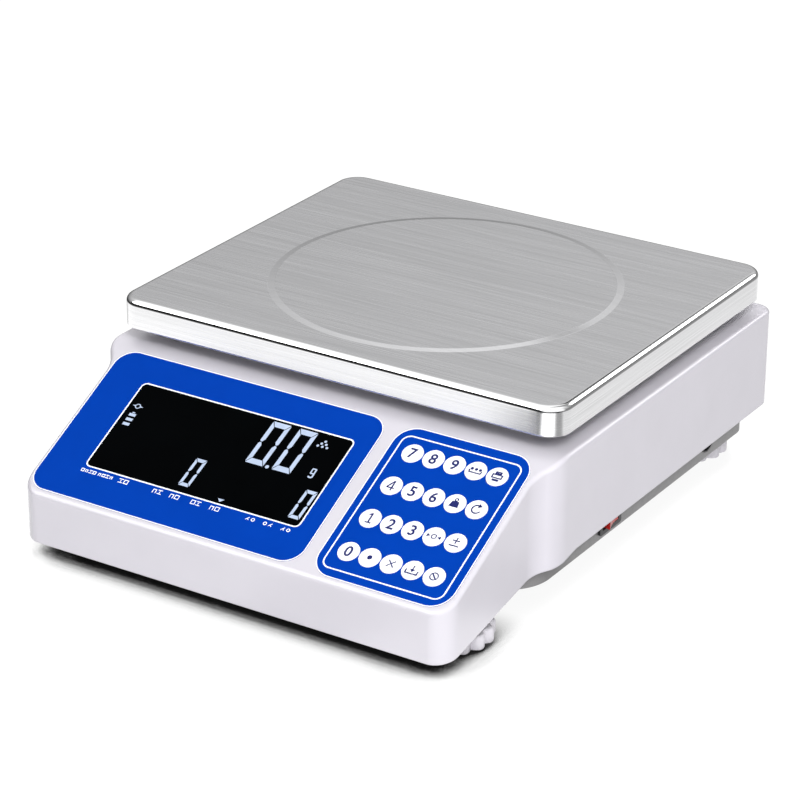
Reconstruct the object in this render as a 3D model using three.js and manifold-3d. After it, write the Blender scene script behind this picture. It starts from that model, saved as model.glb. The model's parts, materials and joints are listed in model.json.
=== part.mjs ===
// Counting scale: a stainless pan on a single-point load cell, inside a white plastic cover with a
// sloped front panel that holds a liquid crystal display and a keypad of twenty keys.
// Millimetres, +Z up. The origin is on the table, under the middle of the bounding box.
// The front panel faces -Y, and +X is the side with the power switch.

import * as THREE from 'three';
import { mergeVertices } from 'three/addons/utils/BufferGeometryUtils.js';
import Module from 'manifold-3d';

const wasm = await Module();
wasm.setup();

// ---------------------------------------------------------------- driving dimensions

const GAP = 0.3; // clearance between neighbouring pieces
const OVER = 1; // how far a cut runs past a face, and how deep a joined lump sinks in
const PAST = 10; // how far a side view runs past the outline it is cut to

const COVER = {
  rearHalf: 149, // half width of the rear body
  noseHalf: 139.2, // half width of the narrower front
  frontY: -175.5,
  rearY: 175.5,
  cornerR: 12.5,
  rearCornerR: 9.7,
  shoulderFrontY: -95, // the sides swell from the nose to the rear body between these
  shoulderRearY: -70,
  wall: 2.8,
  skirtZ: 32.1, // lower edge along the rear body
  chinZ: 9.2, // lower edge at the front
  chinEndY: -58, // the lower edge rises from the chin to here
  creaseBlend: 7, // how far each side of the crease the deck rounds into the panel
};
const DECK_Z = 92.3;
const CREASE_Y = -73.6;
const SLOPE = THREE.MathUtils.degToRad(27.2);

const PAN = {
  width: 290, depth: 243.6, height: 18, topZ: 119, centreY: 47.75, cornerR: 14,
  sheet: 1, discR: 100, stampStep: 0.5,
};

const BASE = {
  rearHalf: 141, noseHalf: 128, frontY: -168, rearY: 160.5, cornerR: 12, rearCornerR: 10,
  shoulderFrontY: -108, shoulderRearY: -72,
  bottomZ: 17.4, floor: 3, wall: 2.5, wallTopZ: 44, frontWallTopZ: 34, frontWallEndY: -60,
};
const FLOOR_Z = BASE.bottomZ + BASE.floor;

// Areas on the panel are given by distances down the slope from the crease.
const DISPLAY = {
  left: -137, right: 43.5, top: 5.5, bottom: 110.8, cornerR: 12, thick: 0.7, proud: 0.2,
};
const WINDOW = { left: -110, right: 31, top: 25.2, bottom: 87.2, cornerR: 4, lip: 2.5 };
const KEYPAD = {
  left: 51.5, right: 136, top: 5.5, bottom: 111.4, cornerR: 13, thick: 1.3, proud: 0.2,
};
const PANEL_DEPTH = 8; // how far the panel's cuts reach behind its face
const PANEL_CLEAR = 5; // and in front of it
const KEY = {
  firstX: 66.9, pitchX: 13.2, firstV: 22.7, pitchV: 23.4, radius: 6.2, holeR: 6.4, sides: 20,
  proud: 0.5, cap: 1, stemR: 4.6, stemHoleR: 5, stemSides: 10, stemEnd: -2.4,
};
const KEY_ROWS = [
  ['7', '8', '9', 'sample', 'print_setup'],
  ['4', '5', '6', 'unit_weight', 'recall'],
  ['1', '2', '3', 'zero', 'accumulate'],
  ['0', 'point', 'clear', 'tare', 'cancel'],
];
const LCD = { glassZ: -1.1, glassInset: 1, boardTopZ: -3.1, board: 1.6, boardMargin: 5 };
const KEY_BOARD = {
  left: 54, right: 134, top: 14, bottom: 102, topZ: -3.2, thick: 1.6,
  chipWidth: 18, chipLength: 10, chipHeight: 3,
};

const FOOT = {
  frontX: 111.5, frontY: -127.3, rearX: 107, rearY: 151.1,
  radius: 25, lobes: 14, lobeR: 4.4, coreR: 21.4,
  bottomZ: 0.6, topZ: 10.5, studR: 3.9, studTopZ: 31, padR: 17, padThick: 2,
};
const BOSS = { footR: 9, footTopZ: 34, studHoleR: 4.3, postR: 4.5, screwHoleR: 1.7, screwDepth: 14 };
const COVER_SCREWS = {
  rear_left: [-130, 128],
  rear_right: [130, 128],
  front_left: [-100, -160],
  front_right: [47.5, -160],
};
const SCREW = {
  shankR: 1.4, headR: 3.2, headH: 2.2, recessR: 3.8, recessTopZ: 19, slotLength: 4, slotWidth: 0.8,
};

const CELL = { width: 38, length: 150, height: 26, bottomZ: 46.6, holeR: 9, holeSpread: 14, web: 3 };
const CELL_FRONT_Y = PAN.centreY - CELL.length / 2;
const CELL_REAR_Y = PAN.centreY + CELL.length / 2;
const CELL_TOP_Z = CELL.bottomZ + CELL.height;
const CELL_BOLT = {
  shankR: 3, holeR: 3.4, headR: 5, headH: 5, socketR: 2.4, fromEnd: 11, pitch: 14, depth: 13.5,
};
const PEDESTAL = { width: 46, length: 36, topZ: 40, counterboreR: 6.4, counterboreTopZ: 26 };
const SPACER = { width: 38, length: 32, thick: 6 };
const STOP = { bossR: 8, bossTopZ: 34, screwR: 3, nutR: 5, nutH: 3, gap: 0.7, y: -6, bottomZ: 24 };

const SUPPORT = {
  armWidth: 24, armTopZ: 113, armThick: 8, rib: 3, endX: 112, endY: 88, endR: 13,
  legWidth: 44, legLength: 42, legWall: 5, plateHalf: 32, plateStep: 2, deckHoleR: 33,
};
const PAD = { radius: 9, pegR: 3, pegHoleR: 3.3, pegEndZ: 106.5 };

const SWITCH = {
  y: -7.6, z: 28.8, width: 24, height: 15, bezel: 1.6, bodyW: 21, bodyH: 12.4, depth: 16,
  wellDepth: 5.5, wellMargin: 1.6,
};
const ROCKER = {
  width: 15, height: 9.4, pivotX: 139.6, tilt: 12, reach: 4.6, back: -2, backWidth: 0.55, dip: 2,
};
const INLET = {
  y: 111, z: 30.9, holeR: 9.5, mouthR: 8.6, cupR: 10.1, wall: 1.1, floor: 4.1, depth: 14,
  sleeveR: 3.4, sleeveBoreR: 2.7, sleeveLength: 6, pinR: 1, pinLength: 5,
};
const SIDE_CUT = 6; // how far the cuts in the base's side wall reach into the base

const BATTERY = {
  x: -95, y: 65.5, width: 70, length: 101, height: 47,
  tabSpread: 22, tabWidth: 4.8, tabLength: 6, tabThick: 1, tabDrop: 8,
  strap: 1.2, strapWidth: 22, flange: 6,
};
const BOARD = { left: 40, right: 118, front: 8, rear: 92, z: 30, thick: 1.6, standoffR: 3, inset: 5 };
const BOARD_CHIPS = [
  { x: 60, y: 30, width: 18, length: 18, height: 3 },
  { x: 92, y: 26, width: 14, length: 10, height: 3 },
  { x: 100, y: 78, width: 12, length: 20, height: 12 },
  { x: 64, y: 76, width: 22, length: 8, height: 9 },
  { x: 80, y: 52, width: 8, length: 8, height: 5 },
];
const BOARD_CAPACITORS = [
  { x: 110, y: 50, radius: 5, height: 14 },
  { x: 98, y: 50, radius: 4, height: 11 },
];

// ---------------------------------------------------------------- colours

const LOOK = {
  whitePlastic: { color: 0xd8d6dc, roughness: 0.4, metalness: 0 },
  whiteKey: { color: 0xf6f7fb, roughness: 0.5, metalness: 0 },
  whiteFoot: { color: 0xe6e4ea, roughness: 0.5, metalness: 0 },
  blueFilm: { color: 0x0142b7, roughness: 0.45, metalness: 0 },
  darkWindow: { color: 0x05070a, roughness: 0.1, metalness: 0 },
  displayGlass: { color: 0x0c0f14, roughness: 0.25, metalness: 0 },
  stainless: { color: 0xb3b3b5, roughness: 0.3, metalness: 1 },
  aluminium: { color: 0xa9abae, roughness: 0.5, metalness: 0.9 },
  greyBase: { color: 0x969696, roughness: 0.55, metalness: 0.2 },
  rubber: { color: 0x303030, roughness: 0.9, metalness: 0 },
  footRubber: { color: 0xb9b9b9, roughness: 0.9, metalness: 0 },
  blackPlastic: { color: 0x161616, roughness: 0.5, metalness: 0 },
  redPlastic: { color: 0xbe3c3c, roughness: 0.35, metalness: 0 },
  circuitGreen: { color: 0x14532d, roughness: 0.5, metalness: 0 },
  zincSteel: { color: 0xbfc2c4, roughness: 0.35, metalness: 1 },
  batteryCase: { color: 0x3b4047, roughness: 0.6, metalness: 0 },
};

// ---------------------------------------------------------------- solid helpers

/** A closed geometry as a manifold solid. */
function solid(geometry) {
  geometry.deleteAttribute('normal');
  geometry.deleteAttribute('uv');
  const merged = mergeVertices(geometry);
  return new wasm.Manifold(new wasm.Mesh({
    numProp: 3,
    vertProperties: new Float32Array(merged.attributes.position.array),
    triVerts: new Uint32Array(merged.index.array),
  }));
}

/** A manifold solid as a geometry. */
function geometryOf(body) {
  const { vertProperties, triVerts } = body.getMesh();
  const geometry = new THREE.BufferGeometry();
  geometry.setAttribute('position', new THREE.BufferAttribute(new Float32Array(vertProperties), 3));
  geometry.setIndex(new THREE.BufferAttribute(new Uint32Array(triVerts), 1));
  geometry.computeVertexNormals();
  return geometry;
}

/** A named mesh of one piece. */
function piece(name, body, look) {
  const mesh = new THREE.Mesh(geometryOf(body), new THREE.MeshStandardMaterial(look));
  mesh.name = name;
  return mesh;
}

/** The two ends of a span, given its middle and half its length. */
function around(middle, half) {
  return [middle - half, middle + half];
}

function average([a, b]) {
  return (a + b) / 2;
}

/** A box between two corners. */
function box(x0, x1, y0, y1, z0, z1) {
  const geometry = new THREE.BoxGeometry(x1 - x0, y1 - y0, z1 - z0);
  geometry.translate((x0 + x1) / 2, (y0 + y1) / 2, (z0 + z1) / 2);
  return solid(geometry);
}

/** An upright cylinder. */
function rod(x, y, radius, z0, z1, sides = 24) {
  const geometry = new THREE.CylinderGeometry(radius, radius, z1 - z0, sides);
  geometry.rotateX(Math.PI / 2);
  geometry.translate(x, y, (z0 + z1) / 2);
  return solid(geometry);
}

/** A cylinder along X. */
function rodX(x0, x1, y, z, radius, sides = 24) {
  const geometry = new THREE.CylinderGeometry(radius, radius, x1 - x0, sides);
  geometry.rotateZ(Math.PI / 2);
  geometry.translate((x0 + x1) / 2, y, z);
  return solid(geometry);
}

/** A flat shape raised from z0 to z1. */
function raise(shape, z0, z1, curveSegments = 4) {
  const geometry = new THREE.ExtrudeGeometry(shape, { depth: z1 - z0, bevelEnabled: false, curveSegments });
  geometry.translate(0, 0, z0);
  return solid(geometry);
}

/** A side view, drawn with Y across and Z up, spread along X. */
function spread(shape, x0, x1, curveSegments = 4) {
  const geometry = new THREE.ExtrudeGeometry(shape, { depth: x1 - x0, bevelEnabled: false, curveSegments });
  const turn = new THREE.Matrix4().makeBasis(
    new THREE.Vector3(0, 1, 0), new THREE.Vector3(0, 0, 1), new THREE.Vector3(1, 0, 0));
  geometry.applyMatrix4(turn);
  geometry.translate(x0, 0, 0);
  return solid(geometry);
}

function roundedRectangle(left, right, bottom, top, r) {
  const shape = new THREE.Shape();
  shape.moveTo(left + r, bottom);
  shape.lineTo(right - r, bottom);
  shape.absarc(right - r, bottom + r, r, -Math.PI / 2, 0);
  shape.lineTo(right, top - r);
  shape.absarc(right - r, top - r, r, 0, Math.PI / 2);
  shape.lineTo(left + r, top);
  shape.absarc(left + r, top - r, r, Math.PI / 2, Math.PI);
  shape.lineTo(left, bottom + r);
  shape.absarc(left + r, bottom + r, r, Math.PI, Math.PI * 1.5);
  return shape;
}

/** The plan of the cover or the base: a rear body and a narrower nose, joined by S-shaped shoulders. */
function plan(size, inset) {
  const rear = size.rearHalf - inset;
  const nose = size.noseHalf - inset;
  const front = size.frontY + inset;
  const back = size.rearY - inset;
  const r = size.cornerR - inset;
  const rearR = size.rearCornerR - inset;
  const swell = rear - nose;
  const run = size.shoulderRearY - size.shoulderFrontY;
  const turn = 2 * Math.atan(swell / run);
  const bend = run / (2 * Math.sin(turn));
  const shape = new THREE.Shape();
  shape.moveTo(-nose + r, front);
  shape.lineTo(nose - r, front);
  shape.absarc(nose - r, front + r, r, -Math.PI / 2, 0);
  shape.lineTo(nose, size.shoulderFrontY);
  shape.absarc(nose + bend, size.shoulderFrontY, bend, Math.PI, Math.PI - turn, true);
  shape.absarc(rear - bend, size.shoulderRearY, bend, -turn, 0);
  shape.lineTo(rear, back - rearR);
  shape.absarc(rear - rearR, back - rearR, rearR, 0, Math.PI / 2);
  shape.lineTo(-rear + rearR, back);
  shape.absarc(-rear + rearR, back - rearR, rearR, Math.PI / 2, Math.PI);
  shape.lineTo(-rear, size.shoulderRearY);
  shape.absarc(-rear + bend, size.shoulderRearY, bend, Math.PI, Math.PI + turn);
  shape.absarc(-nose - bend, size.shoulderFrontY, bend, turn, 0, true);
  shape.lineTo(-nose, front + r);
  shape.absarc(-nose + r, front + r, r, Math.PI, Math.PI * 1.5);
  return shape;
}

// ---------------------------------------------------------------- the sloped panel's own frame
// In it, X is across, -Y runs down the slope from the crease, and Z stands off the panel.

const panelFrame = new THREE.Matrix4()
  .makeTranslation(0, CREASE_Y, DECK_Z)
  .multiply(new THREE.Matrix4().makeRotationX(SLOPE));

function onPanel(body) {
  return body.transform(panelFrame.elements);
}

/** An outline on the panel, given by distances down the slope. */
function panelOutline(area, grow = 0) {
  return roundedRectangle(
    area.left - grow, area.right + grow, -area.bottom - grow, -area.top + grow, area.cornerR + grow);
}

function keyCentres() {
  return KEY_ROWS.flatMap((row, i) => row.map((label, j) => ({
    name: `key_${label}`, x: KEY.firstX + j * KEY.pitchX, y: -(KEY.firstV + i * KEY.pitchV),
  })));
}

// ---------------------------------------------------------------- housing

/** The cover's side view, lowered by drop at the top and left open below when open is true. */
function coverProfile(drop, open) {
  const past = COVER.rearY + PAST;
  const fall = Math.tan(SLOPE);
  const slopeDrop = drop / Math.cos(SLOPE);
  const creaseY = CREASE_Y + (slopeDrop - drop) / fall;
  const deck = DECK_Z - drop;
  const blend = COVER.creaseBlend;
  const chinRise = (COVER.skirtZ - COVER.chinZ) / (COVER.chinEndY - COVER.frontY);
  const shape = new THREE.Shape();
  shape.moveTo(past, open ? -OVER : COVER.skirtZ);
  shape.lineTo(past, deck);
  shape.lineTo(creaseY + blend, deck);
  shape.quadraticCurveTo(creaseY, deck, creaseY - blend, deck - blend * fall);
  shape.lineTo(-past, deck - (creaseY + past) * fall);
  if (open) {
    shape.lineTo(-past, -OVER);
  } else {
    shape.lineTo(-past, COVER.chinZ - (past + COVER.frontY) * chinRise);
    shape.lineTo(COVER.chinEndY, COVER.skirtZ);
  }
  return shape;
}

/** The space within the cover's outside, drawn in by inset. */
function coverSpace(inset, open) {
  const wide = COVER.rearHalf + PAST;
  return raise(plan(COVER, inset), open ? -2 * OVER : 0, DECK_Z + PAST)
    .intersect(spread(coverProfile(inset, open), -wide, wide));
}

/** What the panel's overlays, window and keys take out of the cover. */
function panelCuts() {
  const pocket = (area) => raise(panelOutline(area, GAP), area.proud - area.thick - GAP, PANEL_CLEAR);
  const cuts = [pocket(DISPLAY), pocket(KEYPAD)];
  cuts.push(raise(panelOutline(WINDOW, -WINDOW.lip), -PANEL_DEPTH, PANEL_CLEAR));
  for (const key of keyCentres()) {
    cuts.push(rod(key.x, key.y, KEY.stemHoleR, -PANEL_DEPTH, PANEL_CLEAR, KEY.stemSides));
  }
  return cuts.map(onPanel);
}

function topCover() {
  let cover = coverSpace(0, false).subtract(coverSpace(COVER.wall, true));
  const inside = coverSpace(COVER.wall / 2, true);
  for (const [x, y] of Object.values(COVER_SCREWS)) {
    const post = rod(x, y, BOSS.postR, FLOOR_Z + GAP, DECK_Z, 16).intersect(inside);
    cover = cover.add(post).subtract(rod(x, y, BOSS.screwHoleR, 0, FLOOR_Z + BOSS.screwDepth, 12));
  }
  cover = cover.subtract(rod(0, supportLegY(), SUPPORT.deckHoleR, DECK_Z - PAST, DECK_Z + PAST, 32));
  for (const cut of panelCuts()) {
    cover = cover.subtract(cut);
  }
  return piece('top_cover', cover, LOOK.whitePlastic);
}

/** The base's shell: a floor, walls, and a lower wall round the front, under the sloped panel. */
function baseShell() {
  const wide = BASE.rearHalf + PAST;
  return raise(plan(BASE, 0), BASE.bottomZ, BASE.wallTopZ)
    .subtract(raise(plan(BASE, BASE.wall), FLOOR_Z, BASE.wallTopZ + OVER))
    .subtract(box(-wide, wide, BASE.frontY - PAST, BASE.frontWallEndY,
      BASE.frontWallTopZ, BASE.wallTopZ + OVER));
}

/** What stands on the base's floor: bosses, the load cell's pedestal and the board's standoffs. */
function baseLumps() {
  const sunk = FLOOR_Z - OVER;
  const lumps = footPlaces().map(([x, y]) => rod(x, y, BOSS.footR, sunk, BOSS.footTopZ, 20));
  const middle = average(boltRow(CELL_REAR_Y, -1));
  lumps.push(box(-PEDESTAL.width / 2, PEDESTAL.width / 2, middle - PEDESTAL.length / 2,
    middle + PEDESTAL.length / 2, sunk, PEDESTAL.topZ));
  lumps.push(rod(0, STOP.y, STOP.bossR, sunk, STOP.bossTopZ, 20));
  for (const x of [BOARD.left + BOARD.inset, BOARD.right - BOARD.inset]) {
    for (const y of [BOARD.front + BOARD.inset, BOARD.rear - BOARD.inset]) {
      lumps.push(rod(x, y, BOARD.standoffR, sunk, BOARD.z - GAP, 12));
    }
  }
  return lumps;
}

/** The holes in the base: for the feet, screws, bolts, switch and inlet. */
function baseHoles() {
  const holes = footPlaces().map(([x, y]) => rod(x, y, BOSS.studHoleR, 0, BOSS.footTopZ + OVER, 16));
  for (const [x, y] of Object.values(COVER_SCREWS)) {
    holes.push(rod(x, y, SCREW.shankR + GAP, 0, FLOOR_Z + OVER, 12));
    holes.push(rod(x, y, SCREW.recessR, 0, SCREW.recessTopZ, 20));
  }
  for (const y of boltRow(CELL_REAR_Y, -1)) {
    holes.push(rod(0, y, PEDESTAL.counterboreR, 0, PEDESTAL.counterboreTopZ, 20));
    holes.push(rod(0, y, CELL_BOLT.holeR, 0, PEDESTAL.topZ + OVER, 12));
  }
  holes.push(rod(0, STOP.y, STOP.screwR + GAP, 0, STOP.bossTopZ + OVER, 12));
  const [near, far] = [BASE.rearHalf - SIDE_CUT, BASE.rearHalf + SIDE_CUT];
  holes.push(box(near, far, ...around(SWITCH.y, SWITCH.bodyW / 2 + GAP),
    ...around(SWITCH.z, SWITCH.bodyH / 2 + GAP)));
  holes.push(rodX(near, far, INLET.y, INLET.z, INLET.holeR, 32));
  return holes;
}

function baseTray() {
  let base = baseShell();
  for (const lump of baseLumps()) {
    base = base.add(lump);
  }
  for (const hole of baseHoles()) {
    base = base.subtract(hole);
  }
  return piece('base_tray', base, LOOK.greyBase);
}

// ---------------------------------------------------------------- front panel

function displayOverlay() {
  const z0 = DISPLAY.proud - DISPLAY.thick;
  const film = raise(panelOutline(DISPLAY), z0, DISPLAY.proud)
    .subtract(raise(panelOutline(WINDOW, GAP), z0 - OVER, DISPLAY.proud + OVER));
  return piece('display_overlay', film, LOOK.blueFilm);
}

function displayWindow() {
  const z0 = DISPLAY.proud - DISPLAY.thick;
  return piece('display_window', raise(panelOutline(WINDOW), z0, DISPLAY.proud), LOOK.darkWindow);
}

/** The display's glass stands in the cover's opening, on a board behind the panel. */
function displayModule() {
  const grow = -WINDOW.lip - LCD.glassInset;
  const glass = raise(panelOutline(WINDOW, grow), LCD.boardTopZ - OVER, LCD.glassZ);
  const margin = LCD.boardMargin;
  const board = box(WINDOW.left - margin, WINDOW.right + margin, -WINDOW.bottom - margin,
    -WINDOW.top + margin, LCD.boardTopZ - LCD.board, LCD.boardTopZ);
  return piece('display_module', glass.add(board), LOOK.displayGlass);
}

function keypadOverlay() {
  const z0 = KEYPAD.proud - KEYPAD.thick;
  let film = raise(panelOutline(KEYPAD), z0, KEYPAD.proud);
  for (const key of keyCentres()) {
    film = film.subtract(rod(key.x, key.y, KEY.holeR, z0 - OVER, KEYPAD.proud + OVER, KEY.sides));
  }
  return piece('keypad_overlay', film, LOOK.blueFilm);
}

function keypadBoard() {
  const { left, right, top, bottom, topZ, thick, chipWidth, chipLength, chipHeight } = KEY_BOARD;
  const board = box(left, right, -bottom, -top, topZ - thick, topZ);
  const chip = box(...around(average([left, right]), chipWidth / 2),
    ...around(-average([top, bottom]), chipLength / 2), topZ - thick - chipHeight, topZ - OVER);
  return piece('keypad_board', board.add(chip), LOOK.circuitGreen);
}

/** A key: a flat cap in the overlay's hole, with a plunger behind it. */
function key({ name, x, y }) {
  const capBottom = KEY.proud - KEY.cap;
  const cap = rod(0, 0, KEY.radius, capBottom, KEY.proud, KEY.sides);
  const stem = rod(0, 0, KEY.stemR, KEY.stemEnd, capBottom + KEY.cap / 2, KEY.stemSides);
  const mesh = piece(name, cap.add(stem), LOOK.whiteKey);
  mesh.position.set(x, y, 0);
  return mesh;
}

function frontPanel() {
  const group = new THREE.Group();
  group.position.set(0, CREASE_Y, DECK_Z);
  group.rotation.x = SLOPE;
  group.add(displayOverlay(), displayWindow(), displayModule(), keypadOverlay(), keypadBoard());
  group.add(...keyCentres().map(key));
  return group;
}

// ---------------------------------------------------------------- weighing gear

/** The two bolts of one end of the load cell, counted inwards from that end. */
function boltRow(endY, inwards) {
  return [0, 1].map((i) => endY + inwards * (CELL_BOLT.fromEnd + i * CELL_BOLT.pitch));
}

function supportLegY() {
  return average(boltRow(CELL_FRONT_Y, 1));
}

/** The load cell: a bar with two round holes joined by a slot, which let it bend evenly. */
function loadCell() {
  const half = CELL.width / 2;
  const past = half + OVER;
  const middleZ = CELL.bottomZ + CELL.height / 2;
  const holeDepth = CELL_BOLT.depth + OVER;
  let bar = box(-half, half, CELL_FRONT_Y, CELL_REAR_Y, CELL.bottomZ, CELL_TOP_Z);
  for (const y of around(PAN.centreY, CELL.holeSpread)) {
    bar = bar.subtract(rodX(-past, past, y, middleZ, CELL.holeR, 20));
  }
  bar = bar.subtract(box(-past, past, ...around(PAN.centreY, CELL.holeSpread),
    ...around(middleZ, CELL.web / 2)));
  for (const y of boltRow(CELL_REAR_Y, -1)) {
    bar = bar.subtract(rod(0, y, CELL_BOLT.holeR, 0, CELL.bottomZ + holeDepth, 12));
  }
  for (const y of boltRow(CELL_FRONT_Y, 1)) {
    bar = bar.subtract(rod(0, y, CELL_BOLT.holeR, CELL_TOP_Z - holeDepth, CELL_TOP_Z + OVER, 12));
  }
  return piece('load_cell', bar, LOOK.aluminium);
}

function spacer(name, rows, z0) {
  const z1 = z0 + SPACER.thick;
  let plate = box(...around(0, SPACER.width / 2), ...around(average(rows), SPACER.length / 2), z0, z1);
  for (const y of rows) {
    plate = plate.subtract(rod(0, y, CELL_BOLT.holeR, z0 - OVER, z1 + OVER, 12));
  }
  return piece(name, plate, LOOK.zincSteel);
}

/** A socket-head bolt; headUp says which way its head faces. */
function cellBolt(name, y, seatZ, tipZ, headUp) {
  const headZ = seatZ + (headUp ? 1 : -1) * CELL_BOLT.headH;
  const shank = rod(0, y, CELL_BOLT.shankR, Math.min(seatZ, tipZ), Math.max(seatZ, tipZ), 12);
  const head = rod(0, y, CELL_BOLT.headR, Math.min(seatZ, headZ), Math.max(seatZ, headZ), 20);
  const socket = rod(0, y, CELL_BOLT.socketR, ...around(headZ, CELL_BOLT.headH / 2), 6);
  return piece(name, head.add(shank).subtract(socket), LOOK.zincSteel);
}

/** One arm right across the frame, grooved along its underside. */
function crossArm(angle, bottom, top) {
  const reach = Math.hypot(SUPPORT.endX, SUPPORT.endY);
  const bar = new THREE.BoxGeometry(2 * reach, SUPPORT.armWidth, SUPPORT.armThick);
  const groove = new THREE.BoxGeometry(
    2 * (reach - SUPPORT.endR), SUPPORT.armWidth - 2 * SUPPORT.rib, SUPPORT.armThick);
  bar.rotateZ(angle);
  groove.rotateZ(angle);
  bar.translate(0, PAN.centreY, average([bottom, top]));
  groove.translate(0, PAN.centreY, average([bottom, top]) - SUPPORT.rib);
  return { bar: solid(bar), groove: solid(groove) };
}

/** The cast frame under the pan: four arms, a middle plate, and a leg down to the load cell. */
function panSupport() {
  const top = SUPPORT.armTopZ;
  const bottom = top - SUPPORT.armThick;
  const legBottom = CELL_TOP_Z + SPACER.thick + 2 * GAP;
  const legY = supportLegY();
  const half = SUPPORT.plateHalf;
  const lean = Math.atan2(SUPPORT.endY, SUPPORT.endX);
  let frame = box(-half, half, legY - SUPPORT.legLength / 2, PAN.centreY + half, bottom, top);
  for (const angle of [lean, -lean]) {
    const { bar, groove } = crossArm(angle, bottom, top);
    frame = frame.add(bar).subtract(groove);
  }
  const inner = half - SUPPORT.plateStep;
  frame = frame.add(box(-inner, inner, PAN.centreY - half, PAN.centreY + inner, bottom, top));
  for (const [x, y] of padPlaces()) {
    frame = frame.add(rod(x, y, SUPPORT.endR, bottom, top, 20))
      .subtract(rod(x, y, PAD.pegHoleR, bottom - OVER, top + OVER, 12));
  }
  const wall = SUPPORT.legWall;
  const leg = (inset, z0, z1) => box(...around(0, SUPPORT.legWidth / 2 - inset),
    ...around(legY, SUPPORT.legLength / 2 - inset), z0, z1);
  frame = frame.add(leg(0, legBottom, top - OVER))
    .subtract(leg(wall, legBottom + SPACER.thick, top + OVER));
  for (const y of boltRow(CELL_FRONT_Y, 1)) {
    frame = frame.subtract(rod(0, y, CELL_BOLT.holeR, legBottom - OVER, top + OVER, 12));
  }
  return piece('pan_support', frame, LOOK.aluminium);
}

function padPlaces() {
  return [[-1, -1], [1, -1], [-1, 1], [1, 1]].map(([i, j]) => [
    i * SUPPORT.endX, PAN.centreY + j * SUPPORT.endY,
  ]);
}

function panPad(name, [x, y]) {
  const seat = SUPPORT.armTopZ + GAP;
  const top = PAN.topZ - PAN.stampStep - PAN.sheet - GAP;
  const pad = rod(x, y, PAD.radius, seat, top, 20).add(rod(x, y, PAD.pegR, PAD.pegEndZ, seat + OVER, 12));
  return piece(name, pad, LOOK.rubber);
}

/** The pan: a shallow inverted tray of sheet steel, with a round stamped platform in its middle. */
function weighingPan() {
  const halfW = PAN.width / 2;
  const halfD = PAN.depth / 2;
  const outline = (inset) => roundedRectangle(-halfW + inset, halfW - inset,
    PAN.centreY - halfD + inset, PAN.centreY + halfD - inset, PAN.cornerR - inset);
  const skin = PAN.topZ - PAN.stampStep;
  const bottom = PAN.topZ - PAN.height;
  const pan = raise(outline(0), bottom, skin)
    .add(rod(0, PAN.centreY, PAN.discR, skin - PAN.sheet, PAN.topZ, 64))
    .subtract(raise(outline(PAN.sheet), bottom - OVER, skin - PAN.sheet))
    .subtract(rod(0, PAN.centreY, PAN.discR - PAN.sheet, skin - 2 * PAN.sheet, PAN.topZ - PAN.sheet, 64));
  return piece('weighing_pan', pan, LOOK.stainless);
}

/** A screw and nut that the load cell comes down on before it is bent too far. */
function overloadStop() {
  const nutZ = STOP.bossTopZ + GAP;
  const screw = rod(0, STOP.y, STOP.screwR, STOP.bottomZ, CELL.bottomZ - STOP.gap, 12)
    .add(rod(0, STOP.y, STOP.nutR, nutZ, nutZ + STOP.nutH, 6));
  return piece('overload_stop', screw, LOOK.zincSteel);
}

function weighingGear() {
  const live = boltRow(CELL_FRONT_Y, 1);
  const fixed = boltRow(CELL_REAR_Y, -1);
  const legFloor = CELL_TOP_Z + 2 * SPACER.thick + 2 * GAP;
  const group = new THREE.Group();
  group.add(loadCell());
  group.add(spacer('fixed_end_spacer', fixed, PEDESTAL.topZ + GAP));
  group.add(spacer('live_end_spacer', live, CELL_TOP_Z + GAP));
  live.forEach((y, i) => group.add(
    cellBolt(`live_end_bolt_${i + 1}`, y, legFloor + GAP, CELL_TOP_Z - CELL_BOLT.depth, true)));
  fixed.forEach((y, i) => group.add(cellBolt(
    `fixed_end_bolt_${i + 1}`, y, PEDESTAL.counterboreTopZ - GAP, CELL.bottomZ + CELL_BOLT.depth, false)));
  group.add(panSupport(), weighingPan(), overloadStop());
  padPlaces().forEach((place, i) => group.add(panPad(`pan_pad_${i + 1}`, place)));
  return group;
}

// ---------------------------------------------------------------- feet

function footPlaces() {
  const { frontX, frontY, rearX, rearY } = FOOT;
  return [[-frontX, frontY], [frontX, frontY], [-rearX, rearY], [rearX, rearY]];
}

/** A levelling foot's knob, with round lobes to turn it by, and its threaded stud. */
function footKnob(name, [x, y]) {
  const r = FOOT.radius - FOOT.lobeR;
  let knob = rod(0, 0, FOOT.coreR, FOOT.bottomZ, FOOT.topZ, 24);
  for (let i = 0; i < FOOT.lobes; i += 1) {
    const angle = (2 * Math.PI * (i + 0.5)) / FOOT.lobes;
    const lobe = rod(r * Math.cos(angle), r * Math.sin(angle), FOOT.lobeR,
      FOOT.bottomZ, FOOT.topZ - OVER, 14);
    knob = knob.add(lobe);
  }
  knob = knob.subtract(rod(0, 0, FOOT.padR + GAP, -OVER, FOOT.padThick + GAP))
    .add(rod(0, 0, FOOT.studR, FOOT.topZ - OVER, FOOT.studTopZ, 12));
  const mesh = piece(name, knob, LOOK.whiteFoot);
  mesh.position.set(x, y, 0);
  return mesh;
}

function footPad(name, [x, y]) {
  return piece(name, rod(x, y, FOOT.padR, 0, FOOT.padThick), LOOK.footRubber);
}

function feet() {
  const group = new THREE.Group();
  const labels = ['front_left', 'front_right', 'rear_left', 'rear_right'];
  footPlaces().forEach((place, i) => {
    group.add(footKnob(`foot_knob_${labels[i]}`, place), footPad(`foot_pad_${labels[i]}`, place));
  });
  return group;
}

// ---------------------------------------------------------------- power and electronics

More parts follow.
